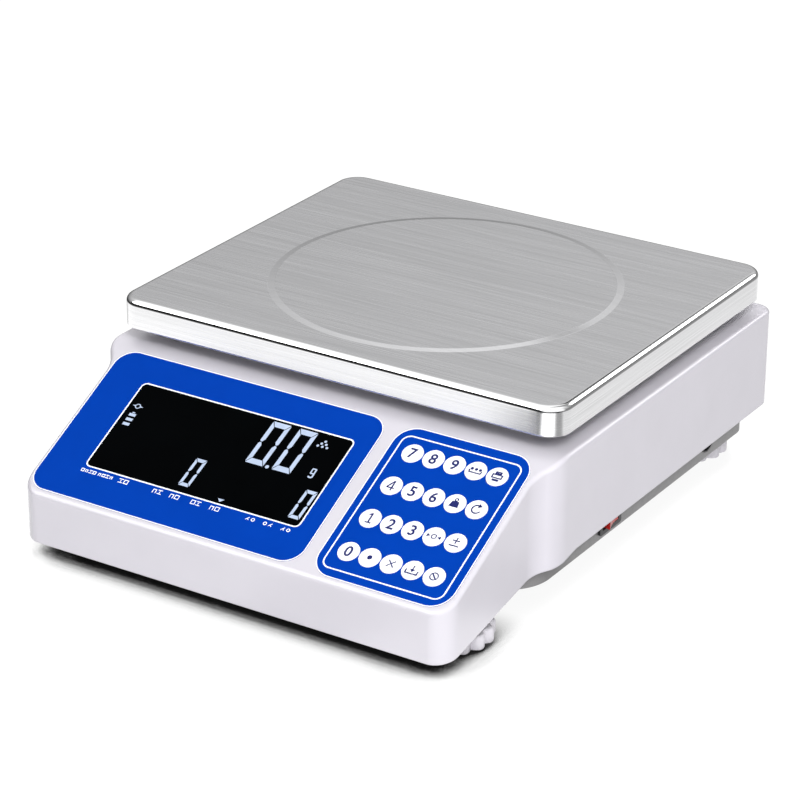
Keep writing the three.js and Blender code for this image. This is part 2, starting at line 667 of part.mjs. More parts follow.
/** The switch's frame: a bezel outside the base's wall and a body inside it, open in front. */
function switchHousing() {
  const { y, z } = SWITCH;
  const wallX = BASE.rearHalf;
  const bezel = box(wallX + GAP, wallX + SWITCH.bezel,
    ...around(y, SWITCH.width / 2), ...around(z, SWITCH.height / 2));
  const body = box(wallX - SWITCH.depth, wallX + OVER,
    ...around(y, SWITCH.bodyW / 2), ...around(z, SWITCH.bodyH / 2));
  const well = box(ROCKER.pivotX - SWITCH.wellDepth, wallX + PAST,
    ...around(y, ROCKER.width / 2 + SWITCH.wellMargin), ...around(z, ROCKER.height / 2 + GAP));
  return piece('switch_housing', bezel.add(body).subtract(well), LOOK.blackPlastic);
}

/** The rocker, drawn square-on and then tipped to the side it is switched to. */
function switchRocker() {
  const half = ROCKER.width / 2;
  const backHalf = half * ROCKER.backWidth;
  const shape = new THREE.Shape();
  shape.moveTo(ROCKER.back, -backHalf);
  shape.lineTo(ROCKER.reach, -half);
  shape.quadraticCurveTo(ROCKER.reach - ROCKER.dip, 0, ROCKER.reach, half);
  shape.lineTo(ROCKER.back, backHalf);
  const rocker = raise(shape, -ROCKER.height / 2, ROCKER.height / 2);
  const mesh = piece('switch_rocker', rocker, LOOK.redPlastic);
  mesh.position.set(ROCKER.pivotX, SWITCH.y, SWITCH.z);
  mesh.rotation.z = THREE.MathUtils.degToRad(ROCKER.tilt);
  return mesh;
}

/** The round power socket behind the base's wall: a cup, its mouth ring, and a sleeve round a pin. */
function powerInlet() {
  const face = BASE.rearHalf - BASE.wall - GAP;
  const back = face - INLET.depth;
  const floor = back + INLET.floor;
  const along = (x0, x1, radius, sides) => rodX(x0, x1, INLET.y, INLET.z, radius, sides);
  const mouth = along(face - OVER, BASE.rearHalf, INLET.holeR - GAP, 32)
    .subtract(along(face - PAST, BASE.rearHalf + OVER, INLET.mouthR, 32));
  const inlet = along(back, face, INLET.cupR, 32)
    .subtract(along(floor, face + OVER, INLET.cupR - INLET.wall, 32))
    .add(mouth)
    .add(along(floor - OVER, floor + INLET.sleeveLength, INLET.sleeveR, 20))
    .subtract(along(back + INLET.wall, face, INLET.sleeveBoreR, 20))
    .add(along(back + OVER, floor + INLET.pinLength, INLET.pinR, 10));
  return piece('power_inlet', inlet, LOOK.blackPlastic);
}

function battery() {
  const { x, y, tabSpread, tabWidth, tabLength, tabThick, tabDrop } = BATTERY;
  const front = y - BATTERY.length / 2;
  const z0 = FLOOR_Z + GAP;
  const z1 = z0 + BATTERY.height;
  let pack = box(...around(x, BATTERY.width / 2), ...around(y, BATTERY.length / 2), z0, z1);
  for (const tabX of around(x, tabSpread)) {
    pack = pack.add(box(...around(tabX, tabWidth / 2), front - tabLength, front + OVER,
      z1 - tabDrop - tabThick, z1 - tabDrop));
  }
  return piece('battery', pack, LOOK.batteryCase);
}

function batteryStrap() {
  const inner = BATTERY.width / 2 + GAP;
  const outer = inner + BATTERY.strap;
  const z0 = FLOOR_Z + GAP;
  const z1 = z0 + BATTERY.height + GAP;
  const ends = around(BATTERY.y, BATTERY.strapWidth / 2);
  const over = around(BATTERY.y, BATTERY.strapWidth / 2 + OVER);
  const foot = outer + BATTERY.flange;
  const strap = box(...around(BATTERY.x, outer), ...ends, z0, z1 + BATTERY.strap)
    .add(box(...around(BATTERY.x, foot), ...ends, z0, z0 + BATTERY.strap))
    .subtract(box(...around(BATTERY.x, inner), ...over, z0 - OVER, z1));
  return piece('battery_strap', strap, LOOK.zincSteel);
}

function mainBoard() {
  const top = BOARD.z + BOARD.thick;
  let board = box(BOARD.left, BOARD.right, BOARD.front, BOARD.rear, BOARD.z, top);
  for (const { x, y, width, length, height } of BOARD_CHIPS) {
    board = board.add(box(...around(x, width / 2), ...around(y, length / 2), top - OVER, top + height));
  }
  for (const { x, y, radius, height } of BOARD_CAPACITORS) {
    board = board.add(rod(x, y, radius, top - OVER, top + height, 12));
  }
  return piece('main_board', board, LOOK.circuitGreen);
}

function coverScrew(name, [x, y]) {
  const seat = SCREW.recessTopZ - GAP;
  const headZ = seat - SCREW.headH;
  const long = SCREW.slotLength / 2;
  const thin = SCREW.slotWidth / 2;
  const screw = rod(x, y, SCREW.headR, headZ, seat, 20)
    .add(rod(x, y, SCREW.shankR, seat - OVER, FLOOR_Z + BOSS.screwDepth - OVER, 10))
    .subtract(box(...around(x, long), ...around(y, thin), ...around(headZ, OVER)))
    .subtract(box(...around(x, thin), ...around(y, long), ...around(headZ, OVER)));
  return piece(name, screw, LOOK.zincSteel);
}

function fasteners() {
  const group = new THREE.Group();
  for (const [place, at] of Object.entries(COVER_SCREWS)) {
    group.add(coverScrew(`cover_screw_${place}`, at));
  }
  return group;
}

// ---------------------------------------------------------------- the scale

const scale = new THREE.Group();
scale.add(topCover(), baseTray(), frontPanel(), weighingGear(), feet(), fasteners());
scale.add(switchHousing(), switchRocker(), powerInlet(), battery(), batteryStrap(), mainBoard());

export default scale;
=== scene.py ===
"""A counting scale: brushed steel pan, white moulded housing, blue printed panel, dark display.

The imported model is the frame. Shapes are worked out in millimetres and turned into metres when a
mesh is made. +Z is up, -Y is the front, and +X is the side with the power switch.
"""
import json
import math

import bmesh
import bpy
from mathutils import Matrix, Vector


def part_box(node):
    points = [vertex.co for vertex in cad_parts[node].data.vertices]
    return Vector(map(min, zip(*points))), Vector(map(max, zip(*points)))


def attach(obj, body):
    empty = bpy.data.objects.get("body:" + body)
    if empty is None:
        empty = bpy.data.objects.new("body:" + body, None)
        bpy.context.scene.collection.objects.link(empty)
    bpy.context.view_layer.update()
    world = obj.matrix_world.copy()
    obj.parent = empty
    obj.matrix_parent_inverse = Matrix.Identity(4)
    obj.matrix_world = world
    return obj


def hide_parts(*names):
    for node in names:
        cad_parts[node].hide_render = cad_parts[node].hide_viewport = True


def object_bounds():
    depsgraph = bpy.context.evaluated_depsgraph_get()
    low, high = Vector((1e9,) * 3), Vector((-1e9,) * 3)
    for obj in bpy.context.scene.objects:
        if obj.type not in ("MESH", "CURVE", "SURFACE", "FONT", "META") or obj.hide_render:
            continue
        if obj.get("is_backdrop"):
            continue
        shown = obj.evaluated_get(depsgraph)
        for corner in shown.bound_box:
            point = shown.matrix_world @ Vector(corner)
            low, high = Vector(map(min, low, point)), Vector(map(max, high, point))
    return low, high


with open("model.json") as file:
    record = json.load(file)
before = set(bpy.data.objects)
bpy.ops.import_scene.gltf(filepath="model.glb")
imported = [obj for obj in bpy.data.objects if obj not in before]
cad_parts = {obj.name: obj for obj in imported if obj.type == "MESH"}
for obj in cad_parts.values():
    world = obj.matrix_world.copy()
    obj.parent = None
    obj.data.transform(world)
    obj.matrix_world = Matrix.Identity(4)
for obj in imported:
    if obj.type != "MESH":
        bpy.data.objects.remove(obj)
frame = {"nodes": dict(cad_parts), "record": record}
cad_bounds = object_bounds()

MM = 0.001

# ---------------------------------------------------------------- sizes, in millimetres


def span(node):
    """A node's lowest and highest corner, in millimetres."""
    low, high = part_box(node)
    return low / MM, high / MM


COVER_LOW, COVER_HIGH = span("top_cover")
BASE_LOW, BASE_HIGH = span("base_tray")
PAN_LOW, PAN_HIGH = span("weighing_pan")

COVER = {
    "rear_half": COVER_HIGH.x, "nose_half": 139.2, "front": COVER_LOW.y, "back": COVER_HIGH.y,
    "corner": 12.5, "rear_corner": 9.7, "shoulder_front": -95.0, "shoulder_rear": -70.0, "wall": 2.8,
    "skirt_z": 32.1, "chin_z": 9.2, "chin_end": -58.0, "blend": 7.0,
}
DECK_Z = COVER_HIGH.z
CREASE_Y = -73.6
SLOPE = math.radians(27.2)

BASE = {
    "rear_half": BASE_HIGH.x, "nose_half": 128.0, "front": BASE_LOW.y, "back": BASE_HIGH.y,
    "corner": 12.0, "rear_corner": 10.0, "shoulder_front": -108.0, "shoulder_rear": -72.0, "wall": 2.5,
    "bottom_z": BASE_LOW.z, "floor": 3.0, "front_top_z": 34.0, "rear_top_z": 44.0, "step_y": -60.0,
}

PAN = {"corner": 14.0, "fillet": 3.4, "sheet": 1.0, "step_r": 100.5, "step": 0.5, "step_run": 4.2}

# Areas on the panel: left and right, and distances down the slope from the crease.
DISPLAY = {"left": -137.0, "right": 43.5, "top": 5.5, "bottom": 110.8, "corner": 12.0}
WINDOW = {"left": -110.0, "right": 31.0, "top": 25.2, "bottom": 87.2, "corner": 2.6}
KEYPAD = {"left": 51.5, "right": 136.0, "top": 5.5, "bottom": 111.4, "corner": 13.0}
KEY_FRAME = {"left": 56.0, "right": 131.0, "top": 11.5, "bottom": 106.2, "corner": 5.5}
PROUD = 0.2
KEY_FIRST = (66.9, 22.7)
KEY_PITCH = (13.2, 23.4)
KEY_ROWS = (
    ("7", "8", "9", "sample", "print_setup"),
    ("4", "5", "6", "unit_weight", "recall"),
    ("1", "2", "3", "zero", "accumulate"),
    ("0", "point", "clear", "tare", "cancel"),
)
CORNERS = ("front_left", "front_right", "rear_left", "rear_right")

PANEL = Matrix.Translation((0, CREASE_Y, DECK_Z)) @ Matrix.Rotation(SLOPE, 4, "X")

# ---------------------------------------------------------------- materials


def linear(red, green, blue):
    """A colour given as 0 to 255 screen values, in linear light."""
    def one(value):
        c = value / 255
        return c / 12.92 if c <= 0.04045 else ((c + 0.055) / 1.055) ** 2.4
    return (one(red), one(green), one(blue), 1.0)


class Look:
    """A procedural material being built: a Principled shader and helpers that add nodes to it."""

    def __init__(self, name, color, roughness, metallic=0.0, specular=0.5):
        self.material = bpy.data.materials.new(name)
        self.material.use_nodes = True
        self.tree = self.material.node_tree
        self.shader = self.tree.nodes["Principled BSDF"]
        self.color = color
        self.roughness = roughness
        self.set("Base Color", color)
        self.set("Roughness", roughness)
        self.set("Metallic", metallic)
        self.set("Specular IOR Level", specular)
        self.material.diffuse_color = color

    def set(self, socket, value):
        self.shader.inputs[socket].default_value = value

    def add(self, kind, **settings):
        node = self.tree.nodes.new(kind)
        for key, value in settings.items():
            setattr(node, key, value)
        return node

    def link(self, source, target):
        self.tree.links.new(source, target)

    def place(self, scale=(1, 1, 1), turn=(0, 0, 0)):
        """Positions on the piece in metres, stretched by scale."""
        where = self.add("ShaderNodeTexCoord")
        mapping = self.add("ShaderNodeMapping")
        mapping.inputs["Scale"].default_value = scale
        mapping.inputs["Rotation"].default_value = turn
        self.link(where.outputs["Object"], mapping.inputs["Vector"])
        return mapping.outputs["Vector"]

    def noise(self, place, scale, detail=3.0, rough=0.5):
        node = self.add("ShaderNodeTexNoise")
        node.inputs["Scale"].default_value = scale
        node.inputs["Detail"].default_value = detail
        node.inputs["Roughness"].default_value = rough
        self.link(place, node.inputs["Vector"])
        return node.outputs["Fac"]

    def ramp(self, value, low, high, start=0.3, end=0.7):
        """A value moved from the range start to end into the range low to high."""
        node = self.add("ShaderNodeMapRange")
        node.inputs["From Min"].default_value = start
        node.inputs["From Max"].default_value = end
        node.inputs["To Min"].default_value = low
        node.inputs["To Max"].default_value = high
        self.link(value, node.inputs["Value"])
        return node.outputs["Result"]

    def math(self, operation, first, second):
        node = self.add("ShaderNodeMath", operation=operation)
        for value, socket in zip((first, second), node.inputs):
            if isinstance(value, (int, float)):
                socket.default_value = value
            else:
                self.link(value, socket)
        return node.outputs[0]

    def tint(self, value, dark, light):
        """Colours the surface between two shades of its own colour."""
        node = self.add("ShaderNodeMix", data_type="RGBA")
        node.inputs[6].default_value = [c * dark for c in self.color[:3]] + [1]
        node.inputs[7].default_value = [min(1, c * light) for c in self.color[:3]] + [1]
        self.link(value, node.inputs[0])
        self.link(node.outputs[2], self.shader.inputs["Base Color"])

    def vary_roughness(self, value, spread):
        self.link(self.ramp(value, self.roughness - spread, self.roughness + spread),
                  self.shader.inputs["Roughness"])

    def bump(self, height, strength, depth):
        node = self.add("ShaderNodeBump")
        node.inputs["Strength"].default_value = strength
        node.inputs["Distance"].default_value = depth * MM
        self.link(height, node.inputs["Height"])
        self.link(node.outputs["Normal"], self.shader.inputs["Normal"])


def moulded(name, color, roughness, grain=1900, depth=0.03, specular=0.5, mottle=0.03):
    """Moulded plastic with a fine spark-eroded grain."""
    look = Look(name, color, roughness, specular=specular)
    place = look.place()
    fine = look.noise(place, grain, 3, 0.6)
    broad = look.noise(place, 35, 2, 0.5)
    look.tint(look.ramp(broad, 0, 1), 1 - mottle, 1 + mottle / 2)
    look.vary_roughness(look.noise(place, 160, 3), 0.02)
    look.bump(fine, 0.35, depth)
    return look


def brushed(name, color, roughness, along=(1.0, 60.0, 60.0), fine=26.0, depth=0.01, contrast=0.1):
    """Brushed metal: long fine scratches along X, lighter and darker streaks, and a few deeper ones."""
    look = Look(name, color, roughness, metallic=1.0)
    stretched = look.place(along)
    streaks = look.noise(stretched, fine, 6, 0.72)
    bands = look.noise(look.place((along[0] * 1.5, along[1], along[2])), fine * 0.16, 3, 0.5)
    both = look.math("ADD", look.math("MULTIPLY", streaks, 0.65), look.math("MULTIPLY", bands, 0.35))
    look.tint(look.ramp(both, 0, 1, 0.34, 0.66), 1 - contrast, 1 + contrast)
    look.vary_roughness(streaks, 0.06)
    look.bump(streaks, 0.5, depth)
    return look


def film(name, color, roughness, specular):
    """A printed plastic film with a velvet grain."""
    look = Look(name, color, roughness, specular=specular)
    place = look.place()
    grain = look.noise(place, 2600, 2, 0.5)
    look.tint(look.ramp(look.noise(place, 60, 2), 0, 1), 0.97, 1.02)
    look.vary_roughness(look.noise(place, 220, 2), 0.05)
    look.bump(grain, 0.2, 0.01)
    return look


def speckled(name, color, roughness, scale, depth, spread=0.12, metallic=0.0):
    """Cast, rubber or painted surfaces: a coarse grain that shows in colour and height."""
    look = Look(name, color, roughness, metallic=metallic)
    place = look.place()
    grain = look.noise(place, scale, 5, 0.6)
    look.tint(look.ramp(grain, 0, 1), 1 - spread, 1 + spread)
    look.vary_roughness(look.noise(place, scale * 0.2, 3), 0.07)
    look.bump(grain, 0.6, depth)
    return look


def circuit_board():
    """A green board: fine copper tracks show darker and lighter under the coating."""
    look = Look("circuit_green", linear(28, 92, 58), 0.38)
    place = look.place()
    tracks = look.add("ShaderNodeTexBrick")
    tracks.inputs["Scale"].default_value = 140
    tracks.inputs["Mortar Size"].default_value = 0.06
    look.link(place, tracks.inputs["Vector"])
    look.tint(tracks.outputs["Fac"], 0.75, 1.7)
    look.vary_roughness(look.noise(place, 300, 2), 0.06)
    look.bump(tracks.outputs["Fac"], 0.4, 0.03)
    return look


def pan_steel(name, color, roughness, contrast, along, smear):
    """The pan's steel: brushed along its edges, so reflections smear across the scratches."""
    look = Look(name, color, roughness, metallic=1.0)
    fine = look.noise(look.place(along), 40.0, 2, 0.6)
    long = look.noise(look.place([scale * 0.5 for scale in along]), 36.0, 2, 0.5)
    both = look.math("ADD", look.math("MULTIPLY", fine, 0.6), look.math("MULTIPLY", long, 0.4))
    look.tint(look.ramp(both, 0, 1, 0.36, 0.64), 1 - contrast, 1 + contrast)
    look.vary_roughness(fine, roughness * 0.2)
    look.bump(fine, 0.4, 0.006)
    look.set("Anisotropic", 0.5)
    tangent = look.add("ShaderNodeCombineXYZ")
    for axis, value in zip(("X", "Y", "Z"), smear):
        tangent.inputs[axis].default_value = value
    look.link(tangent.outputs[0], look.shader.inputs["Tangent"])
    return look


def window_black():
    look = Look("dark_window", linear(2, 3, 4), 0.1, specular=0.005)
    place = look.place()
    smears = look.noise(place, 28, 4, 0.6)
    look.tint(look.ramp(smears, 0, 1), 0.7, 1.3)
    look.vary_roughness(smears, 0.03)
    look.bump(look.noise(place, 12, 2), 0.05, 0.02)
    return look


def lit_segment():
    """A lit liquid-crystal segment: pale blue, a little uneven."""
    look = Look("lit_segment", linear(40, 46, 60), 0.6, specular=0.02)
    place = look.place()
    glow = look.noise(place, 260, 2)
    look.tint(look.ramp(glow, 0, 1), 0.9, 1.1)
    look.set("Emission Color", linear(206, 222, 248))
    look.link(look.ramp(glow, 0.9, 1.02), look.shader.inputs["Emission Strength"])
    look.bump(glow, 0.1, 0.005)
    return look


def ink(name, color):
    look = Look(name, color, 0.55, specular=0.2)
    place = look.place()
    look.tint(look.ramp(look.noise(place, 900, 3), 0, 1), 0.94, 1.04)
    look.vary_roughness(look.noise(place, 300, 2), 0.06)
    look.bump(look.noise(place, 2500, 2), 0.15, 0.006)
    return look


def white_with_painted_glow(name, roughness):
    """White plastic and ink with a painted glow, so they show a little brighter than the light on them."""
    look = moulded(name, linear(250, 250, 252), roughness, grain=2600, depth=0.01, mottle=0.015)
    # Painted glow: this emission makes the keys and the white print brighter than the lamps light them.
    look.set("Emission Color", linear(250, 250, 252))
    look.set("Emission Strength", 0.16)
    return look


LOOKS = {
    "white_plastic": moulded(
        "white_plastic", linear(214, 211, 219), 0.24, grain=1700, depth=0.01, mottle=0.02),
    "white_key": white_with_painted_glow("white_key", 0.45),
    "white_foot": moulded("white_foot", linear(214, 211, 218), 0.42),
    "blue_film": film("blue_film", linear(1, 63, 174), 0.5, 0.02),
    "dark_window": window_black(),
    "display_glass": film("display_glass", linear(20, 23, 28), 0.2, 0.5),
    "stainless": pan_steel("stainless", linear(211, 211, 213), 0.24, 0.09, (0.35, 40, 40), (0, 1, 0)),
    # The ring, edge and side copies have lighter base colours than the top: painted brightness, beside their
    # own smoothness and brushing.
    "steel_ring": pan_steel("steel_ring", linear(226, 226, 228), 0.11, 0.05, (0.35, 40, 40), (0, 1, 0)),
    "steel_edge": pan_steel("steel_edge", linear(214, 214, 215), 0.08, 0.02, (0.4, 0.4, 60), (0, 0, 1)),
    "steel_side": pan_steel("steel_side", linear(217, 217, 218), 0.16, 0.09, (0.4, 0.4, 60), (0, 0, 1)),
    "cell_aluminium": brushed("cell_aluminium", linear(190, 191, 194), 0.42, depth=0.02),
    "grey_base": speckled("grey_base", linear(132, 131, 132), 0.36, 1400, 0.03, 0.05),
    "pad_rubber": speckled("pad_rubber", linear(40, 40, 41), 0.82, 900, 0.12),
    "foot_rubber": speckled("foot_rubber", linear(200, 200, 202), 0.8, 900, 0.1, 0.08),
    "black_plastic": moulded("black_plastic", linear(28, 28, 30), 0.42, mottle=0.2),
    "red_plastic": moulded("red_plastic", linear(196, 40, 36), 0.24, depth=0.008, mottle=0.05),
    "circuit_green": circuit_board(),
    "zinc_steel": brushed("zinc_steel", linear(214, 216, 220), 0.28, (30, 30, 30), 20.0),
    "battery_case": moulded("battery_case", linear(62, 66, 72), 0.5, mottle=0.12),
    "lit_segment": lit_segment(),
    "white_ink": white_with_painted_glow("white_ink", 0.55),
    "navy_ink": ink("navy_ink", linear(18, 28, 96)),
}

# ---------------------------------------------------------------- meshes


class Solid:
    """Points in millimetres, and faces with the look of each."""

    def __init__(self):
        self.points = []
        self.faces = []
        self.looks = []

    def add(self, points, faces, look):
        first = len(self.points)
        self.points += [tuple(p) for p in points]
        self.faces += [tuple(first + i for i in face) for face in faces]
        self.looks += [look] * len(faces)
        return self

    def move(self, matrix):
        self.points = [tuple(matrix @ Vector(p)) for p in self.points]
        return self

    def make(self, name, smooth=40):
        """The mesh object, in metres, with outward faces, smooth but for edges over an angle."""
        names = list(dict.fromkeys(self.looks))
        mesh = bpy.data.meshes.new(name)
        mesh.from_pydata([Vector(p) * MM for p in self.points], [], self.faces)
        for look in names:
            mesh.materials.append(LOOKS[look].material)
        mesh.polygons.foreach_set("material_index", [names.index(look) for look in self.looks])
        work = bmesh.new()
        work.from_mesh(mesh)
        bmesh.ops.remove_doubles(work, verts=work.verts, dist=1e-7)
        bmesh.ops.recalc_face_normals(work, faces=work.faces)
        work.to_mesh(mesh)
        work.free()
        mesh.polygons.foreach_set("use_smooth", [True] * len(mesh.polygons))
        mesh.set_sharp_from_angle(angle=math.radians(smooth))
        piece = bpy.data.objects.new(name, mesh)
        bpy.context.scene.collection.objects.link(piece)
        return piece


def settle(piece, body, slot, *nodes):
    """Puts a piece on its body and hides the nodes it stands for; slot is not used."""
    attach(piece, body)
    if nodes:
        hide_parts(*nodes)
    return piece


def circle(x, y, radius, sides=40, start=0.0):
    return [(x + radius * math.cos(start + 2 * math.pi * i / sides),
             y + radius * math.sin(start + 2 * math.pi * i / sides)) for i in range(sides)]


def rectangle(left, right, low, high, corner=0.0, steps=8):
    """A rectangle's outline, with round corners if corner isn't nothing."""
    if not corner:
        return [(left, low), (right, low), (right, high), (left, high)]
    points = []
    centres = ((right - corner, low + corner, -90), (right - corner, high - corner, 0),
               (left + corner, high - corner, 90), (left + corner, low + corner, 180))
    for x, y, first in centres:
        for i in range(steps + 1):
            angle = math.radians(first + 90 * i / steps)
            points.append((x + corner * math.cos(angle), y + corner * math.sin(angle)))
    return points


def area_outline(area, grow=0.0, steps=10):
    return rectangle(area["left"] - grow, area["right"] + grow, -area["bottom"] - grow,
                     -area["top"] + grow, area["corner"] + grow, steps)


def plate(solid, loops, low, high, look):
    """A flat plate between two heights; loops inside other loops are holes, then islands."""
    work = bmesh.new()
    edges = []
    for loop in loops:
        corners = [work.verts.new((x, y, 0)) for x, y in loop]
        edges += [work.edges.new((a, b)) for a, b in zip(corners, corners[1:] + corners[:1])]
    bmesh.ops.triangle_fill(work, use_beauty=True, edges=edges)
    work.verts.index_update()
    flat = [tuple(v.co.xy) for v in work.verts]
    faces = [tuple(v.index for v in face.verts) for face in work.faces]
    work.free()
    count = len(flat)
    points = [(x, y, high) for x, y in flat] + [(x, y, low) for x, y in flat]
    skin = faces + [tuple(i + count for i in reversed(face)) for face in faces]
    start = 0
    for loop in loops:
        ring = list(range(start, start + len(loop)))
        skin += [(a, b, b + count, a + count) for a, b in zip(ring, ring[1:] + ring[:1])]
        start += len(loop)
    return solid.add(points, skin, look)


def lathe(solid, profile, look, sides=64, matrix=None):
    """A solid turned about Z from (radius, height) pairs; the first and last are on the axis."""
    rings = profile[1:-1]
    points = [(r * math.cos(2 * math.pi * i / sides), r * math.sin(2 * math.pi * i / sides), z)
              for r, z in rings for i in range(sides)]
    ends = len(points)
    points += [(0, 0, profile[0][1]), (0, 0, profile[-1][1])]
    faces = []
    for i in range(sides):
        j = (i + 1) % sides
        faces.append((ends, j, i))
        for k in range(len(rings) - 1):
            a, b = k * sides, (k + 1) * sides
            faces.append((a + i, a + j, b + j, b + i))
        last = (len(rings) - 1) * sides
        faces.append((ends + 1, last + i, last + j))
    if matrix is not None:
        points = [tuple(matrix @ Vector(p)) for p in points]
    return solid.add(points, faces, look)


def rounded(profile, radius, steps=4):
    """A profile whose inner corners are rounded to a radius, or less on short sides."""
    points = [profile[0]]
    for before, corner, after in zip(profile, profile[1:], profile[2:]):
        c = Vector(corner)
        to_a, to_b = Vector(before) - c, Vector(after) - c
        reach = min(radius, to_a.length * 0.45, to_b.length * 0.45)
        a, b = c + to_a.normalized() * reach, c + to_b.normalized() * reach
        for i in range(steps + 1):
            t = i / steps
            points.append(tuple(a * (1 - t) ** 2 + c * 2 * t * (1 - t) + b * t * t))
    points.append(profile[-1])
    return points


def skin_rings(rings):
    """Side faces between closed rings of equal length."""
    count = len(rings[0])
    faces = []
    for k in range(len(rings) - 1):
        a, b = k * count, (k + 1) * count
        faces += [(a + i, a + (i + 1) % count, b + (i + 1) % count, b + i) for i in range(count)]
    return faces


def ladder(first, count):
    """Faces across a mirrored ring, from its front to its back."""
    return [(first + i, first + i + 1, first + count - 2 - i, first + count - 1 - i)
            for i in range(count // 2 - 1)]


def mirrored_loft(solid, rings, look):
    """A closed solid over mirrored rings, with its first and last ring capped."""
    count = len(rings[0])
    faces = skin_rings(rings) + ladder(0, count) + ladder((len(rings) - 1) * count, count)
    return solid.add([p for ring in rings for p in ring], faces, look)


def cut(piece, tool):
    """Takes one solid out of another."""
    change = piece.modifiers.new("cut", "BOOLEAN")
    change.operation = "DIFFERENCE"
    change.solver = "EXACT"
    change.object = tool
    bpy.context.view_layer.update()
    seen = piece.evaluated_get(bpy.context.evaluated_depsgraph_get())
    mesh = bpy.data.meshes.new_from_object(seen)
    piece.modifiers.clear()
    piece.data = mesh
    mesh.set_sharp_from_angle(angle=math.radians(30))
    bpy.data.objects.remove(tool)


# ---------------------------------------------------------------- the cover and the base


def half_plan(size, stops=()):
    """The right half of a plan, from the front to the back, as (x, y, outward x, outward y)."""
    rear, nose = size["rear_half"], size["nose_half"]
    front, back, r, rear_r = size["front"], size["back"], size["corner"], size["rear_corner"]
    run = size["shoulder_rear"] - size["shoulder_front"]
    turn = 2 * math.atan((rear - nose) / run)
    bend = run / (2 * math.sin(turn))
    half = []

    def arc(x, y, radius, start, end, steps, side=1):
        for i in range(steps + 1):
            angle = start + (end - start) * i / steps
            c, s = math.cos(angle), math.sin(angle)
            half.append((x + radius * c, y + radius * s, side * c, side * s))

    arc(nose - r, front + r, r, -math.pi / 2, 0, 14)
    arc(nose + bend, size["shoulder_front"], bend, math.pi, math.pi - turn, 14, -1)
    arc(rear - bend, size["shoulder_rear"], bend, -turn, 0, 14)
    half += [(rear, y, 1, 0) for y in stops]
    arc(rear - rear_r, back - rear_r, rear_r, 0, math.pi / 2, 14)
    return half


def plan_ring(half, inset, height):
    """A closed ring round a plan, drawn in by inset, at a height worked out from each y."""
    right = [(x - nx * inset, y - ny * inset) for x, y, nx, ny in half]
    ring = [(x, y, height(y)) for x, y in right]
    return ring + [(-x, y, height(y)) for x, y in reversed(right)]


def cover_top(drop=0.0):
    """The height of the cover's top at each y: the deck, a rounded crease, and the slope."""
    fall = math.tan(SLOPE)
    crease = CREASE_Y + (drop / math.cos(SLOPE) - drop) / fall
    blend = COVER["blend"]

    def height(y):
        if y >= crease + blend:
            return DECK_Z - drop
        if y <= crease - blend:
            return DECK_Z - drop - (crease - y) * fall
        t = (crease + blend - y) / (2 * blend)
        return DECK_Z - drop - blend * fall * t * t
    return height


def cover_edge(y):
    """The height of the cover's lower edge: level at the sides, then down to the chin."""
    end, rise = COVER["chin_end"], COVER["skirt_z"] - COVER["chin_z"]
    if y >= end:
        return COVER["skirt_z"]
    return COVER["skirt_z"] - rise * (end - y) / (end - COVER["front"])


def edge_rings(half, radius, top, steps=7, flat=0.7):
    """Rings over a rounded upper edge, with a narrow flat ring each side of it."""
    rings = [plan_ring(half, 0, lambda y: top(y) - radius - flat)]
    for i in range(steps + 1):
        angle = math.pi / 2 * i / steps
        inset, fall = radius * (1 - math.cos(angle)), radius * (1 - math.sin(angle))
        rings.append(plan_ring(half, inset, lambda y, fall=fall: top(y) - fall))
    rings.append(plan_ring(half, radius + flat, top))
    return rings


def cover():
    half = half_plan(COVER, (-68.2, -66.6, -58.0, 0.0))
    inner = cover_top(COVER["wall"])
    lip = 0.9
    rings = [
        plan_ring(half, COVER["wall"], inner),
        plan_ring(half, COVER["wall"], cover_edge),
        plan_ring(half, lip, cover_edge),
        plan_ring(half, lip * 0.3, lambda y: cover_edge(y) + lip * 0.3),
        plan_ring(half, 0, lambda y: cover_edge(y) + lip),
        plan_ring(half, 0, lambda y: cover_edge(y) + lip + 0.7),
    ]
    rings += edge_rings(half, 2.4, cover_top())
    piece = mirrored_loft(Solid(), rings, "white_plastic").make("cover_shell", 30)

    leg_y = (span("live_end_spacer")[0].y + span("live_end_spacer")[1].y) / 2
    pockets = Solid()
    plate(pockets, [area_outline(DISPLAY, 0.04)], PROUD - 1.0, 4, "white_plastic")
    plate(pockets, [area_outline(KEYPAD, 0.04)], PROUD - 1.6, 4, "white_plastic")
    cut(piece, pockets.move(PANEL).make("tool"))
    holes = Solid()
    plate(holes, [area_outline(WINDOW, -2.5)], -8, 4, "white_plastic")
    for _name, x, y in key_places():
        plate(holes, [circle(x, y, 5.0, 24)], -8, 4, "white_plastic")
    holes.move(PANEL)
    plate(holes, [circle(0, leg_y, 33.0, 72)], DECK_Z - 8, DECK_Z + 4, "white_plastic")
    cut(piece, holes.make("tool"))
    return settle(piece, "housing", "white_plastic", "top_cover")


